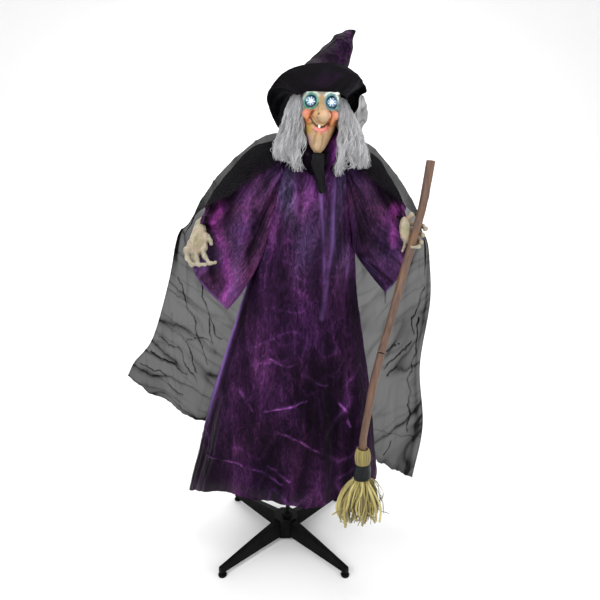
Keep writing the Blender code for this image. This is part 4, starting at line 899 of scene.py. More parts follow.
def make_face():
    """The mask: a smooth bare face with balls melted on for nose, lids, cheeks, lips and chin, then fine relief."""
    rows, cols = 150, 190
    z = np.linspace(1.4368, 1.638, rows)
    angle = np.linspace(-math.pi / 2, math.pi / 2, cols)
    a, zz = np.meshgrid(angle, z)
    # Light smoothing of the tables so that no key shows as a ridge.
    kernel = np.hanning(17) / np.hanning(17).sum()
    half, front, seam = (np.convolve(np.pad(np.interp(z, *keys.T), 8, "edge"), kernel, "valid")[:, None]
                         for keys in (HALF_WIDTH, FRONT, SEAM))
    skin_grid = np.stack([half * np.sin(a), seam + (front - seam) * np.cos(a), zz], -1)
    closed = np.concatenate([skin_grid, skin_grid[:, ::-1] * (1, 0, 1)
                             + np.stack([0 * a, (seam + 0.003) + 0 * a, 0 * a], -1)], 1)
    faces = [list(f) for f in grid_faces(rows, 2 * cols, True)]
    faces += [list(range(2 * cols)), [(rows - 1) * 2 * cols + k for k in range(2 * cols)][::-1]]
    core = mesh_object("core", closed, faces)
    balls = ball_chain(NOSE, 6)
    for side in (-1, 1):
        balls += [((side * 0.0160 + 0.005, -0.155, 1.5415), (0.0105, 0.014, 0.0110)),
                  ((side * 0.0375, -0.112, 1.549), (0.0190, 0.0145, 0.017)),
                  ((side * 0.030, -0.118, 1.532), (0.014, 0.013, 0.014)),
                  ((side * 0.030, -0.121, 1.612), (0.024, 0.010, 0.007))]
        # Heavy lids all round each lamp.
        for k in range(26):
            t = k * TAU / 26
            x, z0 = side * 0.0310 + 0.0195 * math.cos(t), 1.5855 + 0.0185 * math.sin(t)
            balls.append(((x, float(on_mask(x, z0)) - 0.0005, z0), (0.0042, 0.0050, 0.0042)))
    for ridge in (LOWER_LIP, UPPER_LIP, CHIN):
        balls += ball_chain(ridge, 5)
    face = blob("face_skin", balls, 0.002, 0, None)
    join = face.modifiers.new("Union", "BOOLEAN")
    join.operation, join.solver, join.object = "UNION", "EXACT", core
    apply_modifiers(face)
    bpy.data.objects.remove(core)
    melt(face, FACE_VOXEL, 5)
    p = points_of(face)
    xz, fronted = p[:, (0, 2)], smooth(-p[:, 1], 0.085, 0.115)
    nose_free = smooth(-p[:, 1], 0.158, 0.148)
    push = np.zeros(len(p))
    push += 0.0062 * bell(to_line(xz, SMILE), 0.0022) * nose_free
    for crease in (CREASE_L, CREASE_R):
        push += 0.0040 * bell(to_line(xz, crease), 0.0028) * nose_free
    for x, z0 in EYES:
        away = np.hypot(p[:, 0] - x, p[:, 2] - z0)
        push += 0.012 * (1 - smooth(away, 0.0150, 0.0172))
        push += 0.0012 * bell(away - 0.0250, 0.0014)
    for side in (-1, 1):
        for bend in ([(0.040, 1.566), (0.050, 1.562), (0.057, 1.566)],
                     [(0.042, 1.561), (0.053, 1.555), (0.059, 1.557)],
                     [(0.020, 1.494), (0.016, 1.478), (0.010, 1.462)],
                     [(0.036, 1.520), (0.034, 1.505), (0.028, 1.492)]):
            push += 0.0012 * bell(to_line(xz, [(side * x, z0) for x, z0 in bend]), 0.0014)
        push += 0.0030 * dot(p, (side * 0.0110 + 0.007, -0.172, 1.523), 0.0040)
    push += 0.0008 * noise(p * 140, 101) + 0.0012 * noise(p * 55, 102)
    p[:, 1] += push * fronted
    p[:, 1] -= 0.0022 * dot(xz, (-0.007, 1.5405), 0.0017) * (p[:, 1] < -0.15)
    set_points(face, p)
    paint(face, "skin", face_colours(p))
    # A painted glow on the lids and temples round the eyes.
    paint(face, "lit", painted_eye_glow(p))
    face.data.materials.clear()
    face.data.materials.append(painted("latex_skin", "skin", 0.42, 260.0, 0.25, "lit", Subsurface_Weight=0.12,
                                       Subsurface_Radius=(0.010, 0.004, 0.002), Coat_Weight=0.15,
                                       Coat_Roughness=0.35))
    set_points(face, fig(p))
    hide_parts("face_mask")
    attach(face, "head")


def layer(colour, share, over):
    """Colours with a share of another laid over them."""
    return colour + (np.asarray(over) - colour) * np.clip(share, 0, 1)[:, None]


def painted_eye_glow(p):
    """A painted glow: how strongly the skin of the lids and temples round the eye lamps is made to glow."""
    light = np.zeros(len(p))
    for x, z in EYES:
        away = np.hypot(p[:, 0] - x, p[:, 2] - z)
        upper = smooth(p[:, 2] - z + 0.7 * np.sign(x) * (p[:, 0] - x), -0.012, 0.010)
        light = np.maximum(light, 0.34 * bell(away - 0.0265, 0.0060) * upper)
    return light


def face_colours(p):
    """The mask's airbrushed paint, by place."""
    xz = p[:, (0, 2)]
    x, y, z = p.T
    skin = np.tile((0.50, 0.325, 0.165), (len(p), 1))

    def tint(share, colour):
        nonlocal skin
        skin = layer(skin, share, colour)

    def spot(place, size, share, colour):
        tint(dot(xz, place, size) * share, colour)

    tint(smooth(noise(p * 28, 110), -0.2, 0.8) * 0.4, (0.58, 0.41, 0.25))
    tint(smooth(z, 1.505, 1.465) * 0.8, (0.40, 0.28, 0.165))
    spot((-0.034, 1.505), 0.016, 0.7, (0.50, 0.34, 0.05))
    tint(smooth(-x, 0.018, 0.030) * smooth(z, 1.500, 1.480) * 0.55, (0.42, 0.22, 0.34))
    tint(smooth(z, 1.592, 1.606) * 0.6, (0.60, 0.50, 0.38))
    for side in (-1, 1):
        spot((side * 0.058, 1.594), (0.013, 0.026), 0.98, (0.78, 0.92, 0.86))
        spot((side * 0.030, 1.613), (0.028, 0.008), 0.9, (0.76, 0.84, 0.80))
        spot((side * 0.042, 1.552), (0.016, 0.012), 0.95, (0.80, 0.24, 0.19))
        spot((side * 0.042, 1.530), (0.013, 0.013), 0.85, (0.68, 0.20, 0.05))
    off_nose = smooth(-y, 0.162, 0.150)
    for crease in (CREASE_L, CREASE_R):
        close = to_line(xz, crease)
        tint(bell(close, 0.0085) * 0.8 * off_nose, (0.52, 0.15, 0.025))
        tint(bell(close, 0.0032) * 0.6 * off_nose, (0.14, 0.035, 0.01))
    for (ex, ez), shadow, outer in zip(EYES, ((0.06, 0.33, 0.25), (0.06, 0.28, 0.33)),
                                       ((0.30, 0.47, 0.28), (0.38, 0.55, 0.55))):
        away = np.hypot(x - ex, z - ez) + 0.0015 * noise(p * 90, 112)
        upper = smooth((z - ez) + 0.7 * np.sign(ex) * (x - ex), -0.010, 0.012)
        tint(smooth(away, 0.0262, 0.0212) * 0.85, outer)
        tint(bell(away - 0.0262, 0.0042) * upper, (0.86, 0.98, 0.93))
        ring = smooth(away, 0.0255, 0.0205)
        tint(ring * 0.9, shadow)
        tint(ring * smooth(noise(p * 60, 113), 0.0, 0.7) * 0.45, (0.22, 0.52, 0.50))
        tint(smooth(away, 0.0190, 0.0165), (0.004, 0.010, 0.025))
    lips = [(-0.014, 1.506), (-0.006, 1.5015), (0.004, 1.4990), (0.014, 1.502), (0.021, 1.510)]
    tint(bell(to_line(xz, lips), 0.0055) * 0.85 * off_nose, (0.82, 0.19, 0.22))
    tint(bell(to_line(xz, SMILE), 0.0024) * 0.98 * off_nose, (0.02, 0.005, 0.004))
    spot((0.003, 1.489), (0.010, 0.005), 0.45, (0.52, 0.28, 0.10))
    for place in ((0.013, 1.474), (-0.012, 1.463), (0.006, 1.452), (-0.012, 1.482), (0.016, 1.490)):
        spot(place, (0.003, 0.009), 0.45, (0.36, 0.22, 0.08))
    on_nose = smooth(-y, 0.146, 0.160)
    spot((-0.012, 1.548), (0.009, 0.011), on_nose * 0.45, (0.62, 0.33, 0.08))
    spot((0.014, 1.543), (0.012, 0.012), on_nose * 0.5, (0.72, 0.46, 0.36))
    spot((0.002, 1.526), (0.016, 0.006), on_nose * 0.5, (0.40, 0.34, 0.24))
    for side in (-1, 1):
        tint(dot(p, (side * 0.0110 + 0.007, -0.172, 1.521), 0.0036) * 0.9, (0.10, 0.03, 0.02))
    for place in ((-0.015, 1.538), (-0.013, 1.544), (-0.018, 1.534), (-0.010, 1.533)):
        spot(place, 0.0018, on_nose * 0.6, (0.30, 0.14, 0.04))
    spot((-0.007, 1.5405), 0.0024, on_nose * 1.6, (0.02, 0.01, 0.01))
    return skin


def make_eyes_and_tooth():
    """The two lamps with their rings of light, and the tooth."""
    rings, sectors = 40, 96
    eye, tree, base = shader("eye_lamp", 0.12, Coat_Weight=0.6)
    cloud = ramp(tree, grains(tree, 900.0), [(0.3, (0.8, 0.8, 0.8)), (0.7, (1.1, 1.1, 1.1))])
    put(tree, base.inputs["Base Color"], mixed(tree, 1.0, attribute(tree, "iris", "Color"), cloud, "MULTIPLY"))
    base.inputs["Emission Color"].default_value = (0.62, 0.82, 1.0, 1.0)
    put(tree, base.inputs["Emission Strength"], attribute(tree, "glow"))
    for name, (x, z), spin in zip(("left", "right"), EYES, (0.1, 0.35)):
        t, r = turns_and_heights(rings, sectors)
        dome = 0.0052 * np.sqrt(np.clip(1 - (r * 0.93) ** 2, 0, 1))
        front = np.stack([x + 0.0172 * r * np.cos(t), -0.1165 - dome, z + 0.0165 * r * np.sin(t)], -1)
        back = front[::-1].copy()
        back[..., 1] = -0.1160 + 0.004 * (1 - r[::-1])
        p = np.concatenate([front, back])
        lamp = grid(f"eye_{name}_lamp", fig(p), True, eye)
        star = np.abs(np.cos(4 * (t + spin))) ** 3 * (0.75 + 0.25 * np.cos(3 * t + spin))
        glow = smooth(r, 0.34, 0.16) * 3.0 + star * smooth(r, 0.84, 0.60) * 1.3 + 0.30 * smooth(r, 0.70, 0.50)
        glow = np.concatenate([glow, 0 * glow])
        iris = np.tile((0.006, 0.022, 0.060), (rings * sectors, 1)).reshape(rings, sectors, 3)
        spokes = (np.clip(np.cos(16 * t + 3 * np.sin(5 * t)), 0, 1) ** 2 * smooth(r, 0.60, 0.70)
                  * smooth(r, 0.92, 0.84))[..., None]
        iris = iris + spokes * np.array((0.10, 0.30, 0.45))
        iris = iris * smooth(r, 1.0, 0.90)[..., None] + 0.003
        paint(lamp, "iris", np.concatenate([iris, iris * 0 + 0.01]).reshape(-1, 3))
        paint(lamp, "glow", glow.ravel())
        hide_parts(f"eye_light_{name}")
        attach(lamp, "head")
    enamel = moulded("tooth_enamel", (0.80, 0.76, 0.64), (0.92, 0.90, 0.82), 0.25, 400.0, 0.1)
    place = np.array((-0.001, -0.1435, 1.5115))
    tooth = blob("tooth", [(place, (0.0040, 0.0028, 0.0042)), (place + (0.0, 0.0004, -0.0025),
                                                               (0.0032, 0.0024, 0.0034))], 0.0006, 3, enamel)
    set_points(tooth, fig(points_of(tooth)))
    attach(tooth, "head")


# ---------------------------------------------------------------- hat
# Rings of the crown in millimetres: height, half width, half depth, X and Y of the middle.
CROWN = [(1612, 79, 111, 0, -30), (1640, 77.5, 106, 0, -29), (1665, 73, 96, 3, -26),
         (1690, 69, 82, 5, -21), (1708, 66, 72, 9, -16), (1737, 56.5, 58, 24, -10),
         (1767.7, 45, 47, 41.5, -4), (1790, 36, 37, 52, 2), (1803.4, 29.5, 30, 59, 5),
         (1815, 23, 23, 67, 8), (1824, 14, 14, 77, 11), (1829.5, 5, 5, 86.5, 12)]
BRIM_THICK = 0.0022
# Spokes of the brim, round the head from the right by way of the back, each from its inner edge to its rim.
BRIM = [[(79, -30, 1620), (104, -40, 1640), (124, -50, 1650), (136, -58, 1648), (140.3, -60, 1638)],
        [(74.5, 0, 1622), (100, -2, 1637), (113, -10, 1640), (120, -20, 1636), (122.5, -26, 1627)],
        [(68, 30, 1624), (96, 34, 1634), (114, 34, 1630), (122, 28, 1612), (120.1, 20, 1589.3)],
        [(40, 68, 1628), (62, 92, 1634), (78, 112, 1628), (86, 122, 1610), (88, 126, 1588)],
        [(0, 82, 1630), (0, 108, 1636), (0, 134, 1628), (0, 152, 1610), (0, 162, 1590)],
        [(-40, 68, 1628), (-66, 92, 1632), (-88, 112, 1618), (-102, 124, 1594), (-108, 128, 1566)],
        [(-70, 30, 1624), (-100, 40, 1628), (-124, 44, 1606), (-136, 40, 1566), (-128.1, 30, 1515)],
        [(-80, -30, 1616), (-118, -34, 1632), (-150, -38, 1628), (-168, -42, 1610), (-172.8, -45, 1590.4)],
        [(-72, -88, 1606), (-96, -104, 1620), (-120, -112, 1632), (-137, -114, 1636), (-143.9, -110, 1634)],
        [(-42, -130, 1609), (-58, -144, 1624), (-72, -152, 1640), (-83, -156, 1654), (-88.5, -155, 1667)],
        [(0, -143, 1609), (0, -152, 1622), (-2, -162, 1642), (-3, -168, 1662), (-4, -170, 1681)],
        [(38, -130, 1613), (46, -144, 1628), (52, -154, 1648), (55, -157, 1668), (50, -155, 1684)],
        [(68, -88, 1614), (88, -108, 1632), (98, -120, 1648), (104, -124, 1658), (102.5, -120, 1663)]]


def make_crown():
    """The hat's cone, slouched and bent over to the right."""
    rows, cols = 150, 170
    keys = through(mm(CROWN), rows)
    a, t = turns_and_heights(rows, cols)
    z, half, depth, x, y = (keys[:, k][:, None] for k in range(5))
    p = np.stack([x + half * np.cos(a), y + depth * np.sin(a), z + 0 * a], -1)
    n = np.stack([np.cos(a), np.sin(a), 0.4 + 0 * a], -1)
    n /= np.linalg.norm(n, axis=-1)[..., None]
    loose = smooth(t, 0.02, 0.25) * (1 - smooth(t, 0.93, 1.0))
    droop = 0.0022 * np.sin(95 * p[..., 2] + 38 * p[..., 0]
                            + 3 * noise(p * 12, 124)) * loose * smooth(noise(p * 9, 125), -0.7, 0.3)
    away = loose * (0.0030 * noise(p * (16, 16, 20), 120) + 0.0022 * crinkle(p * (14, 14, 18), 121)
                    + 0.0010 * crinkle(p * (40, 40, 34), 122))
    sheen = organza("hat_sheen", ((0.002, 0.001, 0.003), (0.010, 0.0025, 0.013), (0.085, 0.018, 0.094)), None, 0.0,
                    0.55, 0.08)
    crown = grid("hat_crown_cloth", fig(p + n * (away + droop)[..., None]), True, sheen)
    shade = 0.75 + 0.6 * noise(p * (12, 12, 9), 123) - 0.45 * smooth(t, 0.30, 0.0)
    paint(crown, "tint", np.repeat(np.clip(shade, 0.08, 1.8).reshape(-1, 1), 3, 1))
    paint(crown, "edge", np.zeros(rows * cols))
    cap_hole(crown, rows, cols)
    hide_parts("hat_crown")
    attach(crown, "head")


def make_brim():
    """The hat's brim, stiff enough to keep its wave."""
    rows, cols = 56, 240
    p = through(np.swapaxes(looped(mm(BRIM), cols), 0, 1), rows)
    a, t = turns_and_heights(rows, cols)
    n = row_normals(p, True)
    spoke = noise(round_place(a, 7, t * 1.2), 133)
    away = smooth(t, 0.05, 0.4) * (0.0026 * noise(p * 18, 130) + 0.0016 * crinkle(p * 26, 131)
                                   + 0.0035 * noise(p * 8, 132))
    away += 0.0022 * spoke * smooth(t, 0.0, 0.2) * (1 - smooth(t, 0.7, 1.0))
    p = p + n * away[..., None]
    top, under = p + n * BRIM_THICK / 2, p - n * BRIM_THICK / 2
    both = np.concatenate([top, under[::-1]])
    velvet, tree, base = shader("hat_velvet", 0.7, Specular_IOR_Level=0.10, Sheen_Weight=0.02,
                                  Sheen_Tint=(0.45, 0.25, 0.6, 1.0), Sheen_Roughness=0.45)
    # Near-black nap with clouds of purple: the purple is a painted sheen.
    cloud = grains(tree, 10.0, 5.0, (1.0, 1.0, 1.0), 0.8)
    nap_and_sheen = ramp(tree, cloud, [(0.40, (0.001, 0.001, 0.0015)), (0.60, (0.003, 0.002, 0.004)),
                             (0.76, (0.018, 0.005, 0.024))])
    coat(tree, base, nap_and_sheen, grains(tree, 420.0), 0.5, 0.0012)
    brim = grid("hat_brim_cloth", fig(both), True, velvet, True)
    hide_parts("hat_brim")
    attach(brim, "head")


def make_veil():
    """The scrap of net that hangs from the back of the brim on the right."""
    keys = [[(90, 20, 1640), (108, 30, 1648), (126, 36, 1650), (144, 40, 1642)],
            [(92, 24, 1608), (116, 36, 1612), (140, 44, 1612), (160, 46, 1604)],
            [(94, 26, 1576), (118, 40, 1578), (142, 48, 1578), (163, 50, 1570)],
            [(96, 30, 1540), (116, 44, 1542), (136, 50, 1544), (152, 52, 1546)],
            [(98, 34, 1505), (112, 46, 1506), (126, 50, 1510), (138, 52, 1518)]]
    p = surface(mm(keys), 70, 60)
    p[..., 1] += 0.007 * noise(p * (60, 1, 12), 170)
    p[:, -8:, 0] += (0.004 * noise(p * 45, 171))[:, -8:]
    veil = grid("hat_veil_gauze", fig(p), False, gauze("veil_net"))
    folds_in = crinkle(p * (50, 1, 14), 172) ** 2
    paint(veil, "crease", np.clip(0.74 + 0.15 * folds_in + 0.12 * noise(p * 30, 173), 0, 0.95).ravel())
    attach(veil, "head")


def cap_hole(obj, rows, cols):
    """Close the last ring of a wrapped grid."""
    bm = bmesh.new()
    bm.from_mesh(obj.data)
    bm.verts.ensure_lookup_table()
    bm.faces.new([bm.verts[(rows - 1) * cols + k] for k in range(cols)])
    bm.to_mesh(obj.data)
    bm.free()
    obj.data.shade_smooth()


# ---------------------------------------------------------------- hair
# Guides in the figure frame in millimetres, root to tip, from the face outwards.
LOCKS = {
    "left": [[(-66, -75, 1612), (-62, -95, 1565), (-54, -108, 1520), (-50, -118, 1480), (-48, -124, 1440),
              (-52, -126, 1405), (-50, -126, 1370)],
             [(-70, -72, 1612), (-70, -96, 1565), (-66, -112, 1520), (-66, -122, 1478), (-66, -128, 1436),
              (-66, -128, 1405), (-62, -128, 1368)],
             [(-76, -68, 1612), (-82, -92, 1562), (-82, -108, 1516), (-88, -118, 1474), (-92, -124, 1438),
              (-88, -124, 1412), (-82, -124, 1388)],
             [(-82, -60, 1610), (-94, -84, 1560), (-98, -100, 1515), (-108, -110, 1474), (-116, -116, 1440),
              (-110, -118, 1418), (-104, -118, 1400)],
             [(-88, -50, 1606), (-106, -70, 1556), (-112, -86, 1514), (-124, -98, 1474), (-136, -104, 1443),
              (-130, -110, 1420), (-122, -112, 1402)]],
    "right": [[(60, -78, 1608), (62, -96, 1560), (64, -110, 1515), (70, -120, 1475), (71, -126, 1430),
               (71, -128, 1395), (80, -128, 1362)],
              [(64, -76, 1608), (68, -98, 1560), (74, -114, 1515), (78, -122, 1475), (78, -128, 1432),
               (76, -128, 1400), (74, -128, 1370)],
              [(68, -70, 1608), (80, -96, 1560), (94, -112, 1515), (102, -120, 1475), (108, -124, 1440),
               (112, -124, 1415), (112, -124, 1395)],
              [(72, -62, 1606), (92, -86, 1562), (114, -102, 1515), (124, -114, 1478), (132, -120, 1445),
               (138, -120, 1418), (136, -120, 1392)],
              [(76, -52, 1602), (102, -72, 1562), (130, -88, 1518), (142, -100, 1480), (150, -110, 1448),
               (156, -114, 1422), (158, -116, 1400)]],
    "back": [[(-70, 30, 1625), (-80, 50, 1560), (-84, 85, 1500), (-80, 112, 1450), (-74, 120, 1400)],
             [(-30, 80, 1625), (-36, 98, 1560), (-38, 112, 1500), (-36, 120, 1440), (-34, 122, 1385)],
             [(30, 80, 1625), (36, 98, 1560), (38, 112, 1500), (36, 120, 1440), (34, 122, 1385)],
             [(72, 30, 1625), (82, 50, 1560), (86, 85, 1500), (82, 112, 1450), (76, 120, 1400)]]}


STRANDS = {"left": 640, "right": 700, "back": 480}
GUIDE_STEPS, STRAND_STEPS, CLUMPS = 400, 30, 17


def make_hair():
    """Strands that follow the guides in clumps."""
    grey, tree, base = shader("grey_hair", 0.55, Sheen_Weight=0.3)
    tone = attribute(tree, "tone")
    shades = ramp(tree, tone, [(0.0, (0.12, 0.12, 0.125)), (0.45, (0.40, 0.40, 0.41)), (1.0, (0.80, 0.80, 0.83))])
    coat(tree, base, shades, grains(tree, 900.0), 0.3, 0.0005)
    rng = np.random.default_rng(7)
    for name, guides in LOCKS.items():
        dense = through(mm(guides), GUIDE_STEPS)
        swing = rng.uniform(0.002, 0.007, (CLUMPS, 2)) * (0.6 if name == "back" else 1.0)
        pace = rng.uniform(7, 17, (CLUMPS, 2))
        lag = rng.uniform(0, TAU, (CLUMPS, 2))
        deep = rng.uniform(-1, 1, CLUMPS) * (0.003 if name == "back" else 0.009)
        tubes, tones = [], []
        for _ in range(STRANDS[name]):
            place = rng.random()
            if name == "right" and 0.30 < place < 0.42 and rng.random() < 0.6:
                place = rng.choice([rng.uniform(0.0, 0.28), rng.uniform(0.45, 1.0)])
            clump = min(int(place * CLUMPS), CLUMPS - 1)
            keys = dense[int(place * (GUIDE_STEPS - 1))].copy()
            centre = dense[int((clump + 0.5) / CLUMPS * (GUIDE_STEPS - 1))]
            keys += 0.55 * (centre - keys) * np.linspace(0, 1, len(keys))[:, None] ** 1.3
            path = through(keys, STRAND_STEPS)
            cut = rng.uniform(0.80, 1.0) if rng.random() < 0.7 else rng.uniform(0.5, 0.8)
            path = path[: max(10, int(STRAND_STEPS * cut))]
            grow = np.arange(len(path)) / (STRAND_STEPS - 1)
            for axis in (0, 1):
                bend = np.sin(lag[clump, axis] + pace[clump, axis] * grow)
                path[:, axis] += swing[clump, axis] * bend * smooth(grow, 0.0, 0.5)
            path[:, 1] += deep[clump] * smooth(grow, 0.0, 0.3) + rng.normal(0, 0.0035)
            path[:, 1] += 0.004 if name != "back" else 0.0
            path[:, 0] += rng.normal(0, 0.0028)
            wave, turn, own = rng.uniform(0.0012, 0.0058), rng.uniform(0, TAU), rng.uniform(14, 44)
            path[:, 0] += wave * np.sin(turn + own * grow) + rng.normal(0, 0.006) * grow ** 2
            path[:, 1] += wave * np.cos(turn + own * grow) + rng.normal(0, 0.003) * grow ** 2
            thick = rng.uniform(0.0005, 0.0010) * (1 - 0.6 * grow ** 2)
            tubes.append((fig(path), thick, 3, 0.7))
            # Each strand's tone varies at random; along the strand it is lighter and darker in step with its clump's
            # sway, as painted highlights, and darker near the root, as painted shade under the brim.
            light = (rng.normal(0.66, 0.17) + 0.12 * np.sin(lag[clump, 0] + pace[clump, 0] * grow)
                     - 0.25 * smooth(grow, 0.12, 0.0))
            tones.append(np.repeat(np.clip(light, 0, 1), 3))
        hair = bundle(f"hair_{name}_strands", tubes, grey)
        paint(hair, "tone", np.concatenate(tones))
        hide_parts(f"hair_{name}")
        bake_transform(hair)


# ---------------------------------------------------------------- hands
def hand_paint(obj, centre):
    """Bone colour with stains, and painted shade, nearly black, at the left wrist where it goes into the sleeve."""
    p = points_of(obj)
    colour = np.tile((0.29, 0.265, 0.19), (len(p), 1))
    colour = layer(colour, smooth(noise(p * 60, 140), -0.1, 0.8) * 0.7, (0.38, 0.36, 0.28))
    colour = layer(colour, smooth(noise(p * 110, 141), 0.25, 0.9) * 0.5, (0.21, 0.165, 0.085))
    colour = layer(colour, dot(p, centre, (0.016, 0.022, 0.022)) * 0.85, (0.27, 0.225, 0.11))
    colour = layer(colour, bell(np.linalg.norm((p - centre) / (0.024, 0.030, 0.032), axis=1) - 1, 0.16) * 0.35,
                   (0.52, 0.32, 0.27))
    # Painted shade: the top of the left wrist, towards the sleeve, is nearly black.
    wrist_shade = smooth(np.abs(p[:, 0]), 0.331, 0.325) * smooth(p[:, 2], 1.190, 1.197) * (p[:, 0] < 0)
    paint(obj, "bone", layer(colour, wrist_shade, (0.004, 0.003, 0.005)))


def make_hand(name, balls, centre, material):
    hand = blob(f"hand_{name}_skin", balls, HAND_VOXEL, 4, material)
    p = points_of(hand)
    normals = np.zeros(len(p) * 3, np.float32)
    hand.data.vertices.foreach_get("normal", normals)
    p += normals.reshape(-1, 3) * (0.0010 * noise(p * 90, 142) + 0.0006 * noise(p * 200, 143))[:, None]
    p[:, 1] += 0.0075 * dot(p, centre, (0.013, 0.014, 0.019))
    set_points(hand, p)
    hand_paint(hand, centre)
    set_points(hand, fig(p))
    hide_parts(f"hand_{name}")
    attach(hand, f"arm_{name}")


# Each hand in millimetres: the middle of its back, X, Y, Z and radius along the palm, pads as a centre and its
# radii, then X, Y, Z and radius along each finger. The broom is held loosely: the palm is on the left of the
# stick and the fingers are round behind it.
HANDS = {
    "left": ((-343, -207, 1150),
             [(-308, -160, 1211, 9.5), (-328, -166, 1210, 12), (-341, -172, 1197, 15), (-341, -180, 1176, 20.5),
              (-343, -186, 1152, 25), (-347, -191, 1131, 24.5), (-349, -194, 1118, 20.5)],
             [((-363, -190, 1134), (13, 13, 18)),
              ((-323, -188, 1156), (13, 14, 20)),
              ((-326, -192, 1131), (14, 13, 20))],
             [[(-364, -197, 1130, 11.5), (-373.5, -204, 1117, 10.5), (-368, -212, 1094, 8.5),
               (-354, -217, 1076, 7.6), (-337, -223, 1079, 5.4)],
              [(-346, -203, 1116, 10.5), (-341, -214, 1096, 8.8), (-332, -222, 1079.5, 7.4),
               (-311, -227, 1081, 5.4)],
              [(-327, -200, 1123, 10), (-317, -211, 1103, 8.4), (-300, -221, 1085, 7.2), (-281, -228, 1090, 5.2)],
              [(-356, -196, 1112, 9), (-352, -204, 1096, 7.5), (-345, -210, 1084, 5.8)],
              [(-316, -186, 1160, 10), (-306, -192, 1150, 8), (-302, -195, 1141, 6.6)]]),
    "right": ((286, -200, 1236),
              [(284, -170, 1257, 10.5), (284, -174, 1250, 15), (284, -180, 1233, 17.5), (287, -184, 1213, 16.5),
               (292, -185, 1197, 11.5)],
              [],
              [[(288, -178, 1258, 10), (291.5, -186, 1268, 8.2), (296.5, -191, 1273.5, 8.8)],
               [(290, -177, 1249, 9.5), (314, -171.5, 1246, 8), (336, -181, 1243, 8.2), (342.5, -195, 1236, 8)],
               [(290, -178, 1228, 9.5), (310, -174.5, 1224, 8), (331, -185, 1221, 8), (336, -200, 1217, 7.6)],
               [(291, -180, 1208, 9), (306, -177.5, 1204, 7.8), (327, -187, 1200, 7.8), (333, -202, 1195, 7)],
               [(293, -182, 1195, 8.5), (305, -181.5, 1190, 7.2), (323, -190, 1186, 7.2),
                (326.5, -208, 1183, 6.6), (316, -223.5, 1181.5, 5.6), (300, -227.5, 1181, 4.6)],
               [(290, -185, 1192, 7.5), (286, -192, 1177, 5.5), (281, -198, 1165, 4.4)]])}


def finger(joints):
    """Balls along a bony finger: swollen at the knuckles and thin between."""
    stations = []
    for joint, following in zip(joints, joints[1:]):
        stations += [joint, (joint + following) / 2 * (1, 1, 1, 0.80)]
    return ball_chain([*stations, joints[-1]], 5)


def make_hands():
    bone = painted("bone_paint", "bone", 0.40, 300.0, 0.3, Subsurface_Weight=0.08, Coat_Weight=0.2,
                   Coat_Roughness=0.3)
    for name, (centre, palm, pads, fingers) in HANDS.items():
        balls = ball_chain(mm(palm), 5) + [mm(pad) for pad in pads]
        for joints in fingers:
            balls += finger(mm(joints))
        make_hand(name, balls, mm(centre), bone)


# ---------------------------------------------------------------- broom
def make_broom():
    """The stick's two lengths and the materials of the head."""
    bark, tree, base = shader("stained_stick", 0.55)
    long_grain = grains(tree, 70.0, 6.0, (1.0, 1.0, 0.12), 0.4)
    patch = grains(tree, 14.0, 4.0, (1.0, 1.0, 0.45), 1.0)
    first = ramp(tree, long_grain, [(0.30, (0.054, 0.026, 0.016)), (0.55, (0.108, 0.056, 0.036)),
                                    (0.75, (0.145, 0.086, 0.062))])
    fade = ramp(tree, patch, [(0.48, (0.0, 0.0, 0.0)), (0.64, (0.75, 0.75, 0.75))])
    coat(tree, base, mixed(tree, fade, first, (0.150, 0.072, 0.026)), long_grain, 0.6, 0.003)
    upper = [(0.304, -0.2692, 0.841, 0.0119), (0.331, -0.250, 0.932, 0.0119), (0.3641, -0.2227, 1.050, 0.0121),
             (0.3780, -0.215, 1.100, 0.0121),
             (0.4005, -0.2025, 1.181, 0.0122), (0.4230, -0.190, 1.262, 0.0125), (0.436, -0.181, 1.335, 0.0129),
             (0.446, -0.176, 1.405, 0.0134)]
    lower = [(0.303, -0.270, 0.838, 0.0119), (0.281, -0.279, 0.740, 0.0120), (0.265, -0.286, 0.640, 0.0114),
             (0.2535, -0.290, 0.560, 0.0114), (BROOM_X, BROOM_Y, 0.512, 0.0114)]
    rows, sides = 150, 40
    for name, keys in (("upper", upper), ("lower", lower)):
        line = through(keys, rows)
        rings = tube_points(line[:, :3], line[:, 3], sides)
        centre = line[:, None, :3]
        lump = 1 + 0.035 * noise(rings * (30, 30, 16), 150) + 0.018 * noise(rings * (90, 90, 30), 151)
        bud = sum(0.10 * dot(rings, line[i, :3] + (0.010, -0.004, 0), 0.010) for i in (22, 71, 118))
        rings = centre + (rings - centre) * (lump + bud)[..., None]
        stick = mesh_object(f"broom_stick_{name}", rings, tube_faces(rows, sides), bark)
        stick.data.set_sharp_from_angle(angle=math.radians(50))
        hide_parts(f"broom_handle_{name}")
        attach(stick, "broom")
    raffia, tree, base = shader("raffia", 0.62, Sheen_Weight=0.15)
    tone = attribute(tree, "tone")
    straw = ramp(tree, tone, [(0.0, (0.035, 0.026, 0.006)), (0.4, (0.185, 0.145, 0.034)), (0.8, (0.39, 0.325, 0.098)),
                              (1.0, (0.52, 0.46, 0.18))])
    streak = ramp(tree, grains(tree, 260.0, 3.0, (1.0, 1.0, 0.06)),
                  [(0.3, (0.78, 0.76, 0.72)), (0.7, (1.08, 1.08, 1.06))])
    put(tree, base.inputs["Base Color"], mixed(tree, 1.0, straw, streak, "MULTIPLY"))
    make_knob_and_band(raffia)
    make_bristles(raffia)


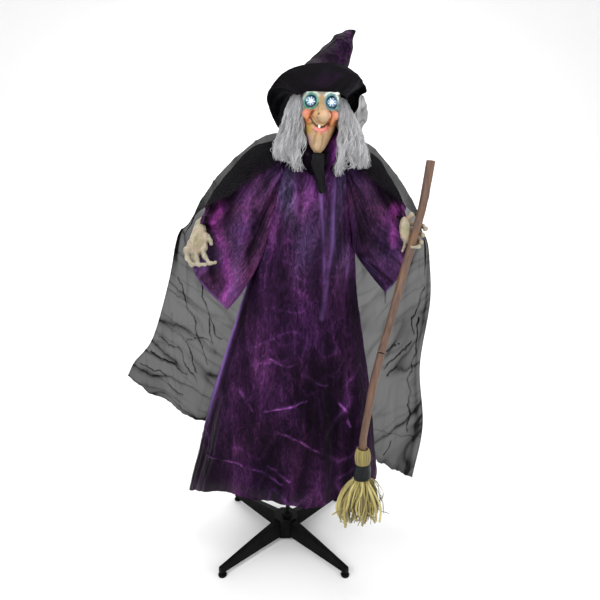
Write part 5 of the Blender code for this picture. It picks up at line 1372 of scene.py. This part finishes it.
def make_knob_and_band(raffia):
    """The ribbed knob of raffia and the tape round its neck."""
    rows, cols = 70, 160
    profile = through([(0.0128, 0.522), (0.0150, 0.531), (0.0185, 0.529), (0.0218, 0.521), (0.0238, 0.508),
                       (0.0236, 0.494), (0.0215, 0.482), (0.0195, 0.474)], rows)
    a, t = turns_and_heights(rows, cols)
    r, z = profile[:, 0][:, None], profile[:, 1][:, None]
    rib = np.abs(np.sin(a * 17 + 2.0 * noise(round_place(a, 2, t), 160)))
    r = r + 0.0010 * rib + 0.0012 * noise(round_place(a, 6, t * 2), 161)
    z = z + 0.0025 * smooth(1 - t, 0.75, 1.0) * noise(round_place(a, 9, 0 * t), 162)
    knob = grid("broom_knob_raffia", np.stack([BROOM_X + r * np.cos(a), BROOM_Y + r * np.sin(a), z], -1), True,
                raffia)
    # Painted shade: lighter on the ribs and darker in the grooves between them.
    paint(knob, "tone", np.clip(0.12 + 0.46 * rib + 0.25 * noise(round_place(a, 7, t), 163), 0, 1).ravel())
    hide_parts("broom_knob")
    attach(knob, "broom")
    tape = moulded("black_tape", (0.003, 0.0035, 0.004), (0.007, 0.009, 0.010), 0.34, 60.0, 0.35,
                   Specular_IOR_Level=0.16)
    profile = through([(0.0190, 0.4790), (0.0225, 0.4795), (0.0250, 0.474), (0.0262, 0.462), (0.0268, 0.448),
                       (0.0272, 0.436), (0.0262, 0.4295), (0.0225, 0.430)], rows)
    r, z = profile[:, 0][:, None], profile[:, 1][:, None]
    turns = np.sin(z * 900 + a)
    r = r + 0.0005 * turns + 0.0014 * noise(round_place(a, 3, t * 3), 164)
    z = z - 0.004 * np.cos(a - 2.4)
    band = grid("broom_band_tape", np.stack([BROOM_X + r * np.cos(a), BROOM_Y + r * np.sin(a), z], -1), True, tape)
    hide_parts("broom_band")
    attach(band, "broom")


def make_bristles(raffia):
    """Flat straws in layers, a loop and a few strays."""
    rng = np.random.default_rng(11)
    tubes, tones, steps = [], [], 18

    def ribbon(keys, width, tone, flat=0.12, side=(1.0, 0.0, 0.0)):
        path = through(keys, steps)
        path[:, 1] = BROOM_Y + 0.072 * np.tanh((path[:, 1] - BROOM_Y) / 0.072)
        grow = np.linspace(0, 1, steps)
        tubes.append((path, width * (0.55 + 0.45 * smooth(grow, 0.0, 0.3)) * (1 - 0.3 * grow ** 4), 4, flat, side))
        # Each straw is painted darker at its top, under the band: painted shade.
        tones.append(np.repeat(np.clip(tone - 0.28 * smooth(grow, 0.22, 0.0) + 0.10 * np.sin(9 * grow + 20 * tone), 0,
                                       1), 4))

    for _ in range(185):
        t = rng.uniform(0, TAU)
        layer_out = math.sqrt(rng.random())
        top_r = 0.004 + 0.018 * layer_out
        spread = 0.004 + 0.046 * layer_out * rng.uniform(0.75, 1.15)
        drop = rng.uniform(0.128,
                           0.160) + 0.012 * math.cos(2 * t + 0.6) * layer_out - (0.04 if rng.random() < 0.18 else 0)
        out = np.array((math.cos(t), math.sin(t), 0.0))
        cross = np.array((-math.sin(t), math.cos(t), 0.0))
        twist = rng.normal(0, 0.6)
        drift = rng.normal(0, 0.014, 3) * (1, 1, 0)
        start = np.array((BROOM_X, BROOM_Y, 0.446))
        knee = start + out * (top_r + spread * 0.50) + drift * 0.3 + (0, 0, -0.044)
        hang = start + out * (top_r + spread * 0.92) + drift * 0.7 + (0, 0, -0.092) + cross * rng.normal(0, 0.009)
        end = start + out * (top_r + spread * rng.uniform(0.75, 1.0)) + drift + (0, 0, -drop)
        end = end + cross * rng.normal(0, 0.013)
        # The inner layers are painted darker than the outer ones: painted shade inside the bundle.
        ribbon([start + out * top_r, start + out * (top_r + 0.004) + (0, 0, -0.020), knee, hang, end],
               rng.uniform(0.0030, 0.0062),
               np.clip(rng.normal(0.34 + 0.38 * layer_out, 0.17), 0, 1), 0.12,
               cross * math.cos(twist) + out * math.sin(twist))
    # The loop on the left and the strays on the right.
    for shift in (0.0, 0.004, 0.009):
        ribbon([(0.228, -0.306, 0.432), (0.205 - shift, -0.318, 0.412), (0.186 - shift, -0.326, 0.380),
                (0.180 - shift, -0.328, 0.340), (0.186, -0.324, 0.300), (0.196, -0.320, 0.288)], 0.0024, 0.8)
    strays = [[(268, -302, 436), (285, -306, 432), (300, -306, 424), (306, -304, 395), (311, -302, 368)],
              [(268, -304, 430), (276, -306, 408), (284, -306, 396), (296, -306, 366), (306, -304, 336)],
              [(270, -304, 425), (282, -306, 400), (284, -306, 360), (285, -306, 318), (286, -306, 290)],
              [(276, -310, 372), (288, -312, 352), (312, -310, 326), (330, -308, 318), (342, -306, 312)],
              [(200, -320, 352), (182, -328, 338), (168, -330, 330), (158, -330, 322)],
              [(280, -306, 402), (288, -306, 404), (294, -306, 402)]]
    for k, keys in enumerate(strays):
        ribbon(mm(keys), (0.0016, 0.0018, 0.0011, 0.0013, 0.0024, 0.0012)[k], 0.30 if k != 4 else 0.6, 0.35)
    bristles = bundle("broom_bristles_raffia", tubes, raffia)
    paint(bristles, "tone", np.clip(np.concatenate(tones), 0, 1))
    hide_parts("broom_bristles")
    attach(bristles, "broom")


# ---------------------------------------------------------------- build
make_stage()
dress_mechanism()
make_robe()
make_sleeves()
make_cape()
make_collar()
make_ribbon()
make_face()
make_eyes_and_tooth()
make_crown()
make_brim()
make_veil()
make_hair()
make_hands()
make_broom()
